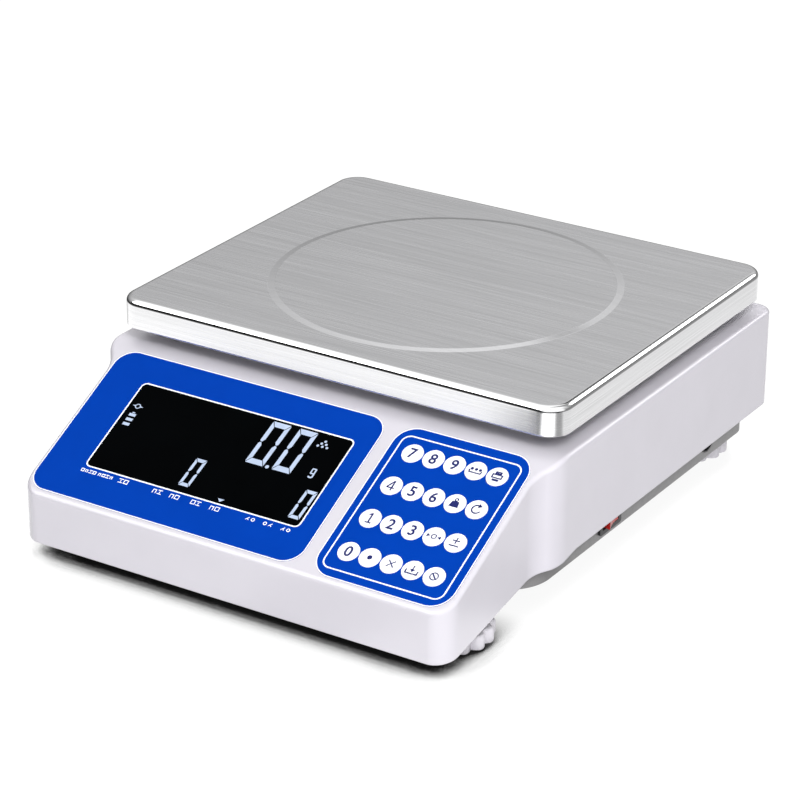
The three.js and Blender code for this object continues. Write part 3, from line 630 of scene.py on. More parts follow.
def base():
    half = half_plan(BASE, (-61.0, -60.0, 0.0))
    low, wall, floor_z = BASE["bottom_z"], BASE["wall"], BASE["bottom_z"] + BASE["floor"]

    def level(z):
        return lambda y: z

    def rim(y):
        return BASE["front_top_z"] if y < BASE["step_y"] - 0.5 else BASE["rear_top_z"]

    radius, steps, flat = 1.3, 6, 0.5
    rings = [plan_ring(half, wall, level(floor_z)), plan_ring(half, wall, rim),
             plan_ring(half, 0, rim), plan_ring(half, 0, level(low + radius + flat))]
    for i in range(steps + 1):
        angle = math.pi / 2 * i / steps
        inset, rise = radius * (1 - math.cos(angle)), radius * (1 - math.sin(angle))
        rings.append(plan_ring(half, inset, level(low + rise)))
    rings.append(plan_ring(half, radius + flat, level(low)))
    piece = mirrored_loft(Solid(), rings, "grey_base").make("base_shell", 30)

    holes = Solid()
    for corner in CORNERS:
        knob_low, knob_high = span("foot_knob_" + corner)
        x, y = (knob_low.x + knob_high.x) / 2, (knob_low.y + knob_high.y) / 2
        plate(holes, [circle(x, y, 4.3, 32)], low - 5, floor_z + 1, "grey_base")
        screw_low, screw_high = span("cover_screw_" + corner)
        x, y = (screw_low.x + screw_high.x) / 2, (screw_low.y + screw_high.y) / 2
        plate(holes, [circle(x, y, 3.8, 32)], low - 5, 19.0, "grey_base")
    for name in ("fixed_end_bolt_1", "fixed_end_bolt_2"):
        bolt_low, bolt_high = span(name)
        plate(holes, [circle(0, (bolt_low.y + bolt_high.y) / 2, 6.4, 32)], low - 5, floor_z + 1, "grey_base")
    stop_low, stop_high = span("overload_stop")
    plate(holes, [circle(0, (stop_low.y + stop_high.y) / 2, 3.3, 24)], low - 5, floor_z + 1, "grey_base")
    side = Solid()
    switch_y, switch_z = switch_centre()
    plate(side, [rectangle(switch_y - 10.8, switch_y + 10.8, switch_z - 6.5, switch_z + 6.5)],
          BASE["rear_half"] - 6, BASE["rear_half"] + 6, "grey_base")
    inlet_y, inlet_z = inlet_centre()
    rear = BASE["rear_half"]
    plate(side, [circle(inlet_y, inlet_z, 9.5, 64)], rear - 6, rear + 6, "grey_base")
    side.move(SIDEWAYS)
    holes.add(side.points, side.faces, "grey_base")
    cut(piece, holes.make("tool"))
    return settle(piece, "housing", "grey_base", "base_tray")


# Turns a shape drawn with Y across, Z up and its height outwards so that it faces +X.
SIDEWAYS = Matrix(((0, 0, 1, 0), (1, 0, 0, 0), (0, 1, 0, 0), (0, 0, 0, 1)))


def switch_centre():
    low, high = span("switch_housing")
    return (low.y + high.y) / 2, (low.z + high.z) / 2


def inlet_centre():
    low, high = span("power_inlet")
    return (low.y + high.y) / 2, (low.z + high.z) / 2


# ---------------------------------------------------------------- the front panel


def key_places():
    return [("key_" + label, KEY_FIRST[0] + j * KEY_PITCH[0], -(KEY_FIRST[1] + i * KEY_PITCH[1]))
            for i, row in enumerate(KEY_ROWS) for j, label in enumerate(row)]


def line_round(solid, area, width, height, look, grow=0.0):
    """A printed line that follows an area's edge, just inside it."""
    plate(solid, [area_outline(area, grow), area_outline(area, grow - width)], PROUD, PROUD + height, look)


def ribbon(points, width):
    """The outline of an open stroke of even width."""
    path = [Vector(p) for p in points]
    left, right = [], []
    for i, point in enumerate(path):
        before = (point - path[i - 1]).normalized() if i else (path[1] - point).normalized()
        after = (path[i + 1] - point).normalized() if i + 1 < len(path) else before
        along = (before + after).normalized()
        side = Vector((-along.y, along.x))
        reach = width / 2 / max(0.4, side.dot(Vector((-before.y, before.x))))
        left.append(tuple(point + side * reach))
        right.append(tuple(point - side * reach))
    return left + right[::-1]


def arc_points(x, y, radius, start, end, steps=14):
    return [(x + radius * math.cos(math.radians(start + (end - start) * i / steps)),
             y + radius * math.sin(math.radians(start + (end - start) * i / steps)))
            for i in range(steps + 1)]


def box_line(x, y, wide, tall, width):
    """A hollow rectangle, as its two loops."""
    outer = rectangle(x - wide / 2, x + wide / 2, y - tall / 2, y + tall / 2)
    inner = rectangle(x - wide / 2 + width, x + wide / 2 - width, y - tall / 2 + width, y + tall / 2 - width)
    return [outer, inner]


def icon(name):
    """A function key's icon: a list of loop groups, about 6 mm across, centred on the key."""
    w = 0.66
    if name == "sample":  # counted pieces on a tray
        return [[circle(x, 0.7, 0.75, 16)] for x in (-2, 0, 2)] + [
            [ribbon([(-3, 0.2), (-2.7, -1.2), (2.7, -1.2), (3, 0.2)], w)]]
    if name == "print_setup":  # a printer
        return [box_line(0, 0, 5.2, 2.4, w), box_line(0, 1.9, 3.2, 1.4, w),
                [rectangle(-1.6, 1.6, -2.6, -1.5)]]
    if name == "unit_weight":  # a weight with its ring
        body = [(-2.3, -2), (2.3, -2), (1.6, 1.1), (-1.6, 1.1)]
        return [[body], [circle(0, 1.9, 0.95, 18), circle(0, 1.9, 0.45, 18)]]
    if name == "recall":  # an arrow going round
        return [[ribbon(arc_points(0, 0, 2.1, 60, 340), w)], [[(0.2, 3.1), (0.2, 0.9), (2.2, 1.9)]]]
    if name == "zero":  # arrows towards a ring
        return [[circle(0, 0, 1.35, 24), circle(0, 0, 0.85, 24)],
                [[(-3.4, -0.9), (-1.7, 0), (-3.4, 0.9)]], [[(3.4, 0.9), (1.7, 0), (3.4, -0.9)]]]
    if name == "accumulate":  # a plus over a line
        return [[[(-0.3, -0.6), (0.3, -0.6), (0.3, 0.7), (1.7, 0.7), (1.7, 1.3), (0.3, 1.3), (0.3, 2.6),
                  (-0.3, 2.6), (-0.3, 1.3), (-1.7, 1.3), (-1.7, 0.7), (-0.3, 0.7)]],
                [rectangle(-2.4, 2.4, -2.0, -1.4)]]
    if name == "clear":  # a cross
        a, b = 0.4, 1.9
        return [[[(0, a), (b - a, b), (b, b - a), (a, 0), (b, a - b), (b - a, -b), (0, -a), (a - b, -b),
                  (-b, a - b), (-a, 0), (-b, b - a), (a - b, b)]]]
    if name == "tare":  # down on to a tray
        return [[rectangle(-0.3, 0.3, 0.2, 2.4)], [[(-1.3, 0.4), (0, -1.1), (1.3, 0.4)]],
                [ribbon([(-2.8, 0), (-2.8, -1.9), (2.8, -1.9), (2.8, 0)], w)]]
    # a struck-out ring
    return [[circle(0, 0, 2.1, 28), circle(0, 0, 1.55, 28)], [ribbon([(-1.1, 1.1), (1.1, -1.1)], w)]]


def numeral(label, height):
    """A numeral from the built-in typeface, as points and faces, centred."""
    curve = bpy.data.curves.new("numeral", "FONT")
    curve.body = label
    curve.size = 1.0
    curve.offset = 0.018
    curve.resolution_u = 5
    text = bpy.data.objects.new("numeral", curve)
    bpy.context.scene.collection.objects.link(text)
    bpy.context.view_layer.update()
    mesh = bpy.data.meshes.new_from_object(text.evaluated_get(bpy.context.evaluated_depsgraph_get()))
    work = bmesh.new()
    work.from_mesh(mesh)
    bmesh.ops.remove_doubles(work, verts=work.verts, dist=1e-5)
    work.verts.index_update()
    flat = [v.co.copy() for v in work.verts]
    faces = [tuple(v.index for v in face.verts) for face in work.faces]
    rim = [(e.verts[0].index, e.verts[1].index) for e in work.edges if e.is_boundary]
    work.free()
    bpy.data.objects.remove(text)
    xs, ys = [p.x for p in flat], [p.y for p in flat]
    scale = height / (max(ys) - min(ys))
    middle = Vector(((max(xs) + min(xs)) / 2, (max(ys) + min(ys)) / 2))
    return [((p.xy - middle) * scale) for p in flat], faces, rim


def raised_text(solid, label, x, y, height, low, high, look):
    flat, faces, rim = numeral(label, height)
    count = len(flat)
    points = [(p.x + x, p.y + y, high) for p in flat] + [(p.x + x, p.y + y, low) for p in flat]
    skin = list(faces) + [tuple(i + count for i in reversed(face)) for face in faces]
    skin += [(a, b, b + count, a + count) for a, b in rim]
    solid.add(points, skin, look)


# The 1 has a foot, and the 4 an open counter.
PLAIN_NUMERALS = {
    "1": [[(-0.2, 3.4), (0.6, 3.4), (0.6, -2.6), (1.9, -2.6), (1.9, -3.4), (-1.8, -3.4), (-1.8, -2.6),
           (-0.4, -2.6), (-0.4, 2.2), (-1.6, 1.6), (-1.6, 2.5)]],
    "4": [[(0.3, 3.4), (1.3, 3.4), (1.3, -1.1), (2.3, -1.1), (2.3, -1.9), (1.3, -1.9), (1.3, -3.4),
           (0.4, -3.4), (0.4, -1.9), (-2.4, -1.9), (-2.4, -1.1)], [(0.4, 2.0), (0.4, -1.1), (-1.4, -1.1)]],
}
KEY_TOP = 0.5
ICON = 1.25


def key(name, x, y):
    """A key: a cap with a softened rim, its plunger, and its printed numeral or icon."""
    cap = [(0, -2.4), (4.6, -2.4), (4.6, -0.5), (6.2, -0.5), (6.2, KEY_TOP), (5.7, KEY_TOP), (0, KEY_TOP)]
    solid = lathe(Solid(), rounded(cap, 0.2, 3), "white_key", 56)
    label = name[len("key_"):]
    if label == "point":
        plate(solid, [circle(0, 0, 1.45, 24)], KEY_TOP - 0.05, KEY_TOP + 0.03, "navy_ink")
    elif label in PLAIN_NUMERALS:
        plate(solid, PLAIN_NUMERALS[label], KEY_TOP - 0.05, KEY_TOP + 0.03, "navy_ink")
    elif len(label) == 1:
        raised_text(solid, label, 0, 0, 6.8, KEY_TOP - 0.05, KEY_TOP + 0.03, "navy_ink")
    else:
        for loops in icon(label):
            larger = [[(px * ICON, py * ICON) for px, py in loop] for loop in loops]
            plate(solid, larger, KEY_TOP - 0.05, KEY_TOP + 0.03, "navy_ink")
    piece = solid.move(PANEL @ Matrix.Translation((x, y, 0))).make(name + "_cap")
    return settle(piece, name + "_body", "white_key", name)


def display_film():
    outlines = [area_outline(DISPLAY), area_outline(WINDOW, 0.12)]
    solid = plate(Solid(), outlines, PROUD - 0.9, PROUD, "blue_film")
    piece = solid.move(PANEL).make("display_film")
    settle(piece, "housing", "blue_film", "display_overlay")
    print_solid = Solid()
    line_round(print_solid, DISPLAY, 0.55, 0.03, "white_ink")
    line_round(print_solid, WINDOW, 0.85, 0.03, "white_ink", 0.95)
    for x, marks in LABELS:
        label_marks(print_solid, x, marks)
    settle(print_solid.move(PANEL).make("display_print"), "housing", "blue_film")


# Small pictograms under the window, each group by its middle and its marks.
LABELS = (
    (-105.8, "bgsb"), (-94.3, "gbsg"), (-81.9, "sb"), (-59.0, "gs"), (-47.5, "gb"),
    (-33.2, "bs"), (-20.8, "gb"), (2.7, "xd"), (14.0, "dx"), (25.6, "xd"),
)


def label_marks(solid, centre, marks):
    """A row of plain marks: boxes, gates, bars, crosses and rings; a pair stands larger than four."""
    size = 2.2 if len(marks) > 2 else 2.9
    w, y = 0.5, -91.0
    half = size / 2
    for k, mark in enumerate(marks):
        x = centre + (k - (len(marks) - 1) / 2) * size * 1.2
        left, right, low, high = x - half, x + half, y - half, y + half
        if mark == "b":
            groups = [box_line(x, y, size, size, w)]
        elif mark == "g":
            path = [(left + w, low), (left + w, high - w), (right - w, high - w), (right - w, low)]
            groups = [[ribbon(path, w)]]
        elif mark == "s":
            groups = [[rectangle(left, right, high - w, high)], [rectangle(left, right, low, low + w)],
                      [rectangle(x - w / 2, x + w / 2, low + w * 1.6, high - w * 1.6)]]
        elif mark == "x":
            groups = [[ribbon([(left + w, low + w), (right - w, high - w)], w)],
                      [ribbon([(right - w, low + w), (x + w * 0.6, y - w * 0.6)], w)]]
        else:
            groups = [[circle(x, y, half * 0.8, 16), circle(x, y, half * 0.8 - w, 16)]]
        for loops in groups:
            plate(solid, loops, PROUD, PROUD + 0.03, "white_ink")


def seven_segment_zero(left, right, top, bottom, bar, post, slant):
    """The six lit segments of a 0, with mitred ends and dark gaps; distances down the slope."""
    gap = 0.3
    middle = (top + bottom) / 2

    def at(x, v):
        return (x + slant * (middle - v), -v)

    def post_loop(x, side, toward):
        """A post from its mitred end to its pointed end near the middle."""
        end = middle - toward * (middle - top)
        inner = x + side * post
        return [at(x, end + toward * gap * 1.6), at(inner - side * post * 0.1, end + toward * (bar + gap)),
                at(inner, end + toward * (bar + gap * 2)),
                at(inner, middle - toward * (gap + post * 0.7)),
                at(x + side * post * 0.6, middle - toward * gap),
                at(x + side * post * 0.25, middle - toward * gap),
                at(x, middle - toward * (gap + post * 0.35))]

    loops = []
    for side, x in ((1, left), (-1, right)):
        loops += [post_loop(x, side, 1), post_loop(x, side, -1)]
    for edge, toward in ((top, 1), (bottom, -1)):
        loops.append([at(left + gap, edge), at(right - gap, edge), at(right - post, edge + toward * bar),
                      at(left + post, edge + toward * bar)])
    return loops


def display_pane():
    """The tinted window, and what the display shows through it."""
    solid = plate(Solid(), [area_outline(WINDOW)], PROUD - 0.7, PROUD, "dark_window")
    settle(solid.move(PANEL).make("window_pane"), "housing", "dark_window", "display_window")
    lit = Solid()
    loops = []
    for left, right, top, bottom, bar, post in (
            (-21.4, -9.4, 26.4, 56.8, 3.5, 2.6), (-3.9, 8.1, 26.4, 56.8, 3.5, 2.6),
            (-50.1, -42.9, 63.2, 82.9, 2.2, 1.8), (22.3, 29.6, 63.1, 83.1, 2.2, 1.8)):
        loops += seven_segment_zero(left, right, top, bottom, bar, post, 0.035)
    loops.append(circle(-7.5, -56.2, 1.15, 20))
    for row in range(3):
        loops += [circle(15.5 + (i - row / 2) * 2.95, -30.3 - 1.9 * row, 0.8, 16) for i in range(row + 1)]
    loops += [[(-22.6, -84.1), (-20.5, -86.2), (-18.4, -84.1)],
              [(-107.9, -41.1), (-105.9, -41.7), (-105.9, -40.5)],
              [(-100.7, -41.1), (-102.7, -40.5), (-102.7, -41.7)]]
    for v in (47.6, 51.0, 54.4):
        loops.append(rectangle(-106.2, -101.8, -v - 0.95, -v + 0.95))
    loops.append(rectangle(-104.9, -103.1, -46.3, -45.6))
    for loop in loops:
        plate(lit, [loop], PROUD, PROUD + 0.03, "lit_segment")
    lamp = (-104.3, -41.1)
    plate(lit, [circle(*lamp, 1.75, 24), circle(*lamp, 1.2, 24)], PROUD, PROUD + 0.03, "lit_segment")
    loop = (rectangle(18.2, 21.3, -52.9, -48.9, 0.7, 4), rectangle(19.0, 20.4, -52.1, -49.7, 0.3, 4))
    plate(lit, loop, PROUD, PROUD + 0.03, "lit_segment")
    tail = ribbon([(20.9, -52.5), (20.9, -54.6), (20.3, -55.2), (19.0, -55.2), (18.4, -54.6)], 0.95)
    plate(lit, [tail], PROUD, PROUD + 0.03, "lit_segment")
    settle(lit.move(PANEL).make("display_digits"), "housing", "display_glass")


def keypad_film():
    holes = [circle(x, y, 6.4, 56) for _name, x, y in key_places()]
    solid = plate(Solid(), [area_outline(KEYPAD)] + holes, PROUD - 1.3, PROUD, "blue_film")
    settle(solid.move(PANEL).make("keypad_film"), "housing", "blue_film", "keypad_overlay")
    print_solid = Solid()
    line_round(print_solid, KEYPAD, 0.55, 0.03, "white_ink")
    line_round(print_solid, KEY_FRAME, 0.85, 0.03, "white_ink")
    settle(print_solid.move(PANEL).make("keypad_print"), "housing", "blue_film")


# ---------------------------------------------------------------- the pan


def pan_outline():
    """Points round the pan, closely spaced, as (x, y, outward x, outward y)."""
    half_x, half_y, r = PAN_HIGH.x, (PAN_HIGH.y - PAN_LOW.y) / 2, PAN["corner"]
    centre_y = (PAN_HIGH.y + PAN_LOW.y) / 2
    step = 5.0
    points = []
    sides = ((half_x - r, -half_y + r, -90, "y"), (half_x - r, half_y - r, 0, "x"),
             (-half_x + r, half_y - r, 90, "y"), (-half_x + r, -half_y + r, 180, "x"))
    for index, (x, y, first, _axis) in enumerate(sides):
        for i in range(15):
            angle = math.radians(first + 90 * i / 14)
            c, s = math.cos(angle), math.sin(angle)
            points.append((x + r * c, centre_y + y + r * s, c, s))
        start = Vector(points[-1][:2])
        nx, ny, next_first, _ = sides[(index + 1) % 4]
        angle = math.radians(next_first)
        end = Vector((nx + r * math.cos(angle), centre_y + ny + r * math.sin(angle)))
        count = int((end - start).length / step)
        for i in range(1, count):
            p = start.lerp(end, i / count)
            points.append((p.x, p.y, math.cos(angle), math.sin(angle)))
    return points, centre_y


def pan():
    """The pan: one sheet, folded down all round, with a low round platform stamped in its middle."""
    outline, centre_y = pan_outline()
    skin_z, top_z, low_z = PAN_HIGH.z - PAN["step"], PAN_HIGH.z, PAN_LOW.z
    radius, sheet, flat = PAN["fillet"], PAN["sheet"], 0.7

    def edge(inset, z):
        return [(x - nx * inset, y - ny * inset, z) for x, y, nx, ny in outline]

    def disc(r, z):
        ring = []
        for x, y, _nx, _ny in outline:
            angle = math.atan2(y - centre_y, x)
            ring.append((r * math.cos(angle), centre_y + r * math.sin(angle), z))
        return ring

    def stamped(z_shift, r_shift):
        """The platform's sloped ring, inwards, with a narrow ring each side of its two edges."""
        outer, run, rise = PAN["step_r"] + PAN["step_run"] / 2, PAN["step_run"], PAN["step"]
        spots = ((-0.06, 0), (0, 0), (0.06, 0.06), (0.94, 0.94), (1, 1), (1.06, 1))
        return [disc(outer - run * along - r_shift, skin_z + rise * up + z_shift) for along, up in spots]

    def fillet(shift):
        """The rounded upper edge, from the side to the top, shift inside the outer face."""
        r = radius - shift
        turns = [math.pi / 2 * i / 12 for i in range(13)]
        return [edge(shift + r * (1 - math.cos(t)), skin_z - shift - r * (1 - math.sin(t))) for t in turns]

    under = fillet(sheet)[::-1]
    side = [edge(sheet, low_z + 0.3), edge(sheet - 0.3, low_z), edge(0.35, low_z), edge(0, low_z + 0.35),
            edge(0, low_z + 1.0), edge(0, skin_z - radius - flat)]
    over = fillet(0)
    top = [edge(radius + flat, skin_z), disc(PAN["step_r"] + PAN["step_run"] / 2 + 1, skin_z)]
    top += stamped(0, 0) + [disc(60, top_z)]
    below = [disc(60, top_z - sheet)] + stamped(-sheet, 0)[::-1]
    below.append(disc(PAN["step_r"] + PAN["step_run"] / 2 + 1, skin_z - sheet))
    rings = below + under + side + over + top
    count = len(outline)
    solid = Solid().add([p for ring in rings for p in ring], skin_rings(rings), "stainless")
    first_bright = (len(below) + len(under) + len(side) - 1) * count
    last_bright = first_bright + len(over) * count
    ring_first = last_bright + count * 3
    wall_first = (len(below) + len(under)) * count
    # The side, the rounded edge and the ring take the lighter steel copies: painted brightness as well as
    # their own finish.
    spans = ((wall_first, first_bright, "steel_side"), (first_bright, last_bright, "steel_edge"),
             (ring_first, ring_first + count * 3, "steel_ring"))
    for first, last, look in spans:
        solid.looks[first:last] = [look] * (last - first)
    for first, z in ((0, top_z - sheet), ((len(rings) - 1) * count, top_z)):
        centre = len(solid.points)
        solid.points.append((0, centre_y, z))
        solid.faces += [(centre, first + i, first + (i + 1) % count) for i in range(count)]
        solid.looks += ["stainless"] * count
    piece = solid.make("pan_shell", 50)
    return settle(piece, "pan", "stainless", "weighing_pan")


def pan_pads():
    for i in range(1, 5):
        low, high = span(f"pan_pad_{i}")
        flange = 113.3
        profile = [(0, low.z), (2.6, low.z), (3, low.z + 1), (3, flange), (9, flange), (9, high.z),
                   (4, high.z), (3.4, high.z - 0.9), (0, high.z - 0.9)]
        middle = Matrix.Translation(((low.x + high.x) / 2, (low.y + high.y) / 2, 0))
        piece = lathe(Solid(), rounded(profile, 0.7), "pad_rubber", 40, middle).make(f"pan_cushion_{i}")
        settle(piece, "platform", "pad_rubber", f"pan_pad_{i}")


# ---------------------------------------------------------------- feet


def lobed(radius, waist, lobes=14, count=224):
    """A knob's outline: round lobes with hollows between them."""
    points = []
    for i in range(count):
        angle = 2 * math.pi * i / count
        wave = 0.5 - 0.5 * math.cos(lobes * angle)
        points.append((angle, waist + (radius - waist) * wave ** 0.5))
    return points


def foot(corner):
    low, high = span("foot_knob_" + corner)
    x, y = (low.x + high.x) / 2, (low.y + high.y) / 2
    top = 10.5
    outline = lobed((high.y - low.y) / 2 - 0.05, 21.4)

    def ring(z, inset):
        return [((r - inset) * math.cos(a), (r - inset) * math.sin(a), z) for a, r in outline]

    heights = [(low.z, 1.6), (low.z + 0.5, 0.5), (low.z + 1.5, 0), (top - 3.0, 0), (top - 1.9, 0.4),
               (top - 1.2, 1.4), (top - 1.0, 2.6)]
    rings = [ring(z, inset) for z, inset in heights]
    rings = [[(17.3 * math.cos(a), 17.3 * math.sin(a), z) for a, _r in outline]
             for z in (2.3, low.z)] + rings
    for r, z in ((15.5, top - 1.0), (14.6, top - 0.8), (8.2, top - 0.5), (7.4, top), (5.2, top)):
        rings.append([(r * math.cos(a), r * math.sin(a), z) for a, _r in outline])
    faces = skin_rings(rings)
    points = [p for one in rings for p in one]
    count = len(outline)
    for first, z in ((0, 2.3), ((len(rings) - 1) * count, top)):
        centre = len(points)
        points.append((0, 0, z))
        faces += [(centre, first + i, first + (i + 1) % count) for i in range(count)]
    solid = Solid().add(points, faces, "white_foot")
    threaded(solid, 3.9, 1.25, top - 0.5, high.z)
    solid.move(Matrix.Translation((x, y, 0)))
    settle(solid.make("knob_" + corner, 35), "knob_" + corner, "white_foot", "foot_knob_" + corner)

    _pad_low, pad_high = span("foot_pad_" + corner)
    profile = [(0, 0), (6, 0), (6.4, 0.5), (8.6, 0.5), (9, 0), (12, 0), (12.4, 0.5), (14.6, 0.5), (15, 0),
               (16.4, 0), (17, 0.6), (17, pad_high.z), (0, pad_high.z)]
    pad = lathe(Solid(), profile, "foot_rubber", 64, Matrix.Translation((x, y, 0)))
    settle(pad.make("pad_disc_" + corner), "pad_" + corner, "foot_rubber", "foot_pad_" + corner)


def threaded(solid, radius, pitch, low, high, sides=28, depth=0.55):
    """A screw thread: a ridge that winds up a stud and dies out at its end."""
    steps = int((high - low) / pitch * 6)
    rings = []
    for k in range(steps + 1):
        z = low + (high - low) * k / steps
        ring = []
        for i in range(sides):
            turn = i / sides
            phase = abs(((z / pitch - turn) % 1) * 2 - 1)
            end = min(1, (high - z) / 1.2)
            r = radius - depth * phase - 0.5 * (1 - end)
            ring.append((r * math.cos(2 * math.pi * turn), r * math.sin(2 * math.pi * turn), z))
        rings.append(ring)
    points = [p for ring in rings for p in ring] + [(0, 0, low), (0, 0, high)]
    faces = skin_rings(rings)
    last = steps * sides
    for i in range(sides):
        j = (i + 1) % sides
        faces += [(len(points) - 2, j, i), (len(points) - 1, last + i, last + j)]
    solid.add(points, faces, "zinc_steel")


# ---------------------------------------------------------------- switch and inlet


def power_switch():
    y, z = switch_centre()
    low, high = span("switch_housing")
    wall = BASE["rear_half"]
    solid = Solid()
    well = rectangle(y - 9.1, y + 9.1, z - 5, z + 5, 0.6, 4)
    flange = rectangle(y - 12, y + 12, z - 7.5, z + 7.5, 1.6, 6)
    body = rectangle(y - 10.5, y + 10.5, z - 6.2, z + 6.2)
    well_floor = 134.1
    plate(solid, [flange, well], wall + 0.05, high.x, "black_plastic")
    plate(solid, [body, well], well_floor, wall + 0.05, "black_plastic")
    plate(solid, [body], low.x, well_floor, "black_plastic")
    piece = solid.move(SIDEWAYS).make("switch_frame")
    soften = piece.modifiers.new("soften", "BEVEL")
    soften.width = 0.35 * MM
    soften.segments = 2
    settle(piece, "housing", "black_plastic", "switch_housing")


def rocker():
    """The rocker: its face dips in the middle, and it carries a bar and a ring for on and off."""
    y, z = switch_centre()
    tilt, pivot_x = math.radians(12), 139.6
    half, height, reach = 7.5, 4.7, 4.6
    face = [(reach - 2 * 0.5 * (1 - (i / 8 - 1) ** 2), half * (i / 8 - 1)) for i in range(17)]
    outline = [(-2, -half * 0.55)] + face + [(-2, half * 0.55)]
    solid = plate(Solid(), [outline], -height, height, "red_plastic")

    def on_face(points):
        return [(reach - (1 - (v / half) ** 2) + 0.03, v, w) for v, w in points]

    bar = [(-4.6, -1.6), (-4.1, -1.6), (-4.1, 1.6), (-4.6, 1.6)]
    back = [(p[0] - 0.15, p[1], p[2]) for p in on_face(bar)]
    solid.add(on_face(bar) + back, [(0, 1, 2, 3), (7, 6, 5, 4), (0, 4, 5, 1), (1, 5, 6, 2), (2, 6, 7, 3),
                                    (3, 7, 4, 0)], "white_ink")
    outer, inner = circle(4.3, 0, 1.6, 24), circle(4.3, 0, 1.15, 24)
    ring = on_face(outer) + on_face(inner)
    ring += [(p[0] - 0.15, p[1], p[2]) for p in ring]
    n = 24
    faces = []
    for i in range(n):
        j = (i + 1) % n
        faces += [(i, j, n + j, n + i), (2 * n + j, 2 * n + i, 3 * n + i, 3 * n + j),
                  (i, 2 * n + i, 2 * n + j, j), (n + i, n + j, 3 * n + j, 3 * n + i)]
    solid.add(ring, faces, "white_ink")
    place = Matrix.Translation((pivot_x, y, z)) @ Matrix.Rotation(tilt, 4, "Z")
    piece = solid.move(place).make("rocker_cap", 50)
    soften = piece.modifiers.new("soften", "BEVEL")
    soften.width = 0.3 * MM
    soften.segments = 2
    settle(piece, "rocker", "red_plastic", "switch_rocker")


def inlet():
    y, z = inlet_centre()
    low, high = span("power_inlet")
    face, back = high.x, low.x
    floor = back + 4.1
    turn = Matrix.Translation((0, y, z)) @ Matrix.Rotation(math.pi / 2, 4, "Y")
    wall = face - BASE["wall"] - 0.3
    cup = [(0, back), (10.1, back), (10.1, wall), (9.3, wall), (9.3, face), (8.6, face), (8.6, wall - 1),
           (9.0, wall - 1), (9.0, floor), (3.4, floor), (3.4, floor + 6), (2.7, floor + 6),
           (2.7, back + 1.2), (0, back + 1.2)]
    piece = lathe(Solid(), rounded(cup, 0.3, 3), "black_plastic", 64, turn).make("inlet_socket")
    settle(piece, "housing", "black_plastic", "power_inlet")
    pin = [(0, back + 1.0), (1.0, back + 1.0), (1.0, floor + 4.4), (0.6, floor + 5), (0, floor + 5)]
    spring = [(0, back + 1.1), (3.7, back + 1.1), (3.7, floor + 5.4), (3.4, floor + 5.4),
              (3.4, back + 1.3), (0, back + 1.3)]
    metal = lathe(Solid(), pin, "zinc_steel", 24, turn)
    lathe(metal, spring, "zinc_steel", 40, turn)
    settle(metal.make("inlet_contacts"), "housing", "zinc_steel")


# ---------------------------------------------------------------- nodes that keep their own shape


def finish_nodes():
    """Gives each node that still shows its material, and softens its edges."""
    slots = {part["node"]: part["material_slot"] for part in frame["record"]["subparts"]}
    softened = {"pan_support": 0.8, "load_cell": 0.6, "battery": 1.2, "base_tray": 0.5}
    for name, node in frame["nodes"].items():
        if node.hide_render:
            continue
        node.data.materials.clear()
        node.data.materials.append(LOOKS[slots[name]].material)
        width = softened.get(name, 0.2)
        merge = node.modifiers.new("merge", "WELD")
        merge.merge_threshold = 0.001 * MM
        soften = node.modifiers.new("soften", "BEVEL")
        soften.width = width * MM
        soften.segments = 2
        soften.limit_method = "ANGLE"
        soften.angle_limit = math.radians(40)


# ---------------------------------------------------------------- the room: floor, light and camera


class Sky:
    """Node helpers shared by the world and the floor: smooth steps by height and by direction."""

    def __init__(self, tree):
        self.tree = tree

    def node(self, kind, **settings):
        made = self.tree.nodes.new(kind)
        for key, value in settings.items():
            setattr(made, key, value)
        return made

    def link(self, source, target):
        self.tree.links.new(source, target)

    def math(self, operation, first, second):
        made = self.node("ShaderNodeMath", operation=operation)
        for value, socket in zip((first, second), made.inputs):
            if isinstance(value, (int, float)):
                socket.default_value = value
            else:
                self.link(value, socket)
        return made.outputs[0]

    def step(self, value, start, end, low=0.0, high=1.0, kind="SMOOTHSTEP"):
        made = self.node("ShaderNodeMapRange", interpolation_type=kind)
        for socket, number in (("From Min", start), ("From Max", end), ("To Min", low), ("To Max", high)):
            made.inputs[socket].default_value = number
        self.link(value, made.inputs["Value"])
        return made.outputs["Result"]

    def blend(self, amount, first, second):
        """The first value where amount is 0, the second where it is 1."""
        made = self.node("ShaderNodeMix", data_type="FLOAT")
        for value, socket in ((amount, made.inputs[0]), (first, made.inputs[2]), (second, made.inputs[3])):
            if isinstance(value, (int, float)):
                socket.default_value = value
            else:
                self.link(value, socket)
        return made.outputs[0]

    def level(self, vector):
        """A direction's height, and the way it points over the ground."""
        split = self.node("ShaderNodeSeparateXYZ")
        self.link(vector, split.inputs[0])
        flat = self.node("ShaderNodeCombineXYZ")
        self.link(split.outputs["X"], flat.inputs["X"])
        self.link(split.outputs["Y"], flat.inputs["Y"])
        unit = self.node("ShaderNodeVectorMath", operation="NORMALIZE")
        self.link(flat.outputs[0], unit.inputs[0])
        return split.outputs["Z"], unit.outputs[0]

    def facing(self, way, degrees):
        """How much a direction points along a compass direction, counted from +X towards +Y."""
        angle = math.radians(degrees)
        dot = self.node("ShaderNodeVectorMath", operation="DOT_PRODUCT")
        self.link(way, dot.inputs[0])
        dot.inputs[1].default_value = (math.cos(angle), math.sin(angle), 0)
        return dot.outputs["Value"]

    def toward(self, way, degrees, wide, soft):
        """1 within wide degrees of a compass direction, 0 soft degrees further out."""
        inner, outer = math.cos(math.radians(wide)), math.cos(math.radians(wide + soft))
        return self.step(self.facing(way, degrees), outer, inner)

    def across(self, way, degrees, reach, low, high):
        """Rises evenly from low to high as a direction turns towards a compass direction."""
        return self.step(self.facing(way, degrees), -reach, reach, low, high, "LINEAR")


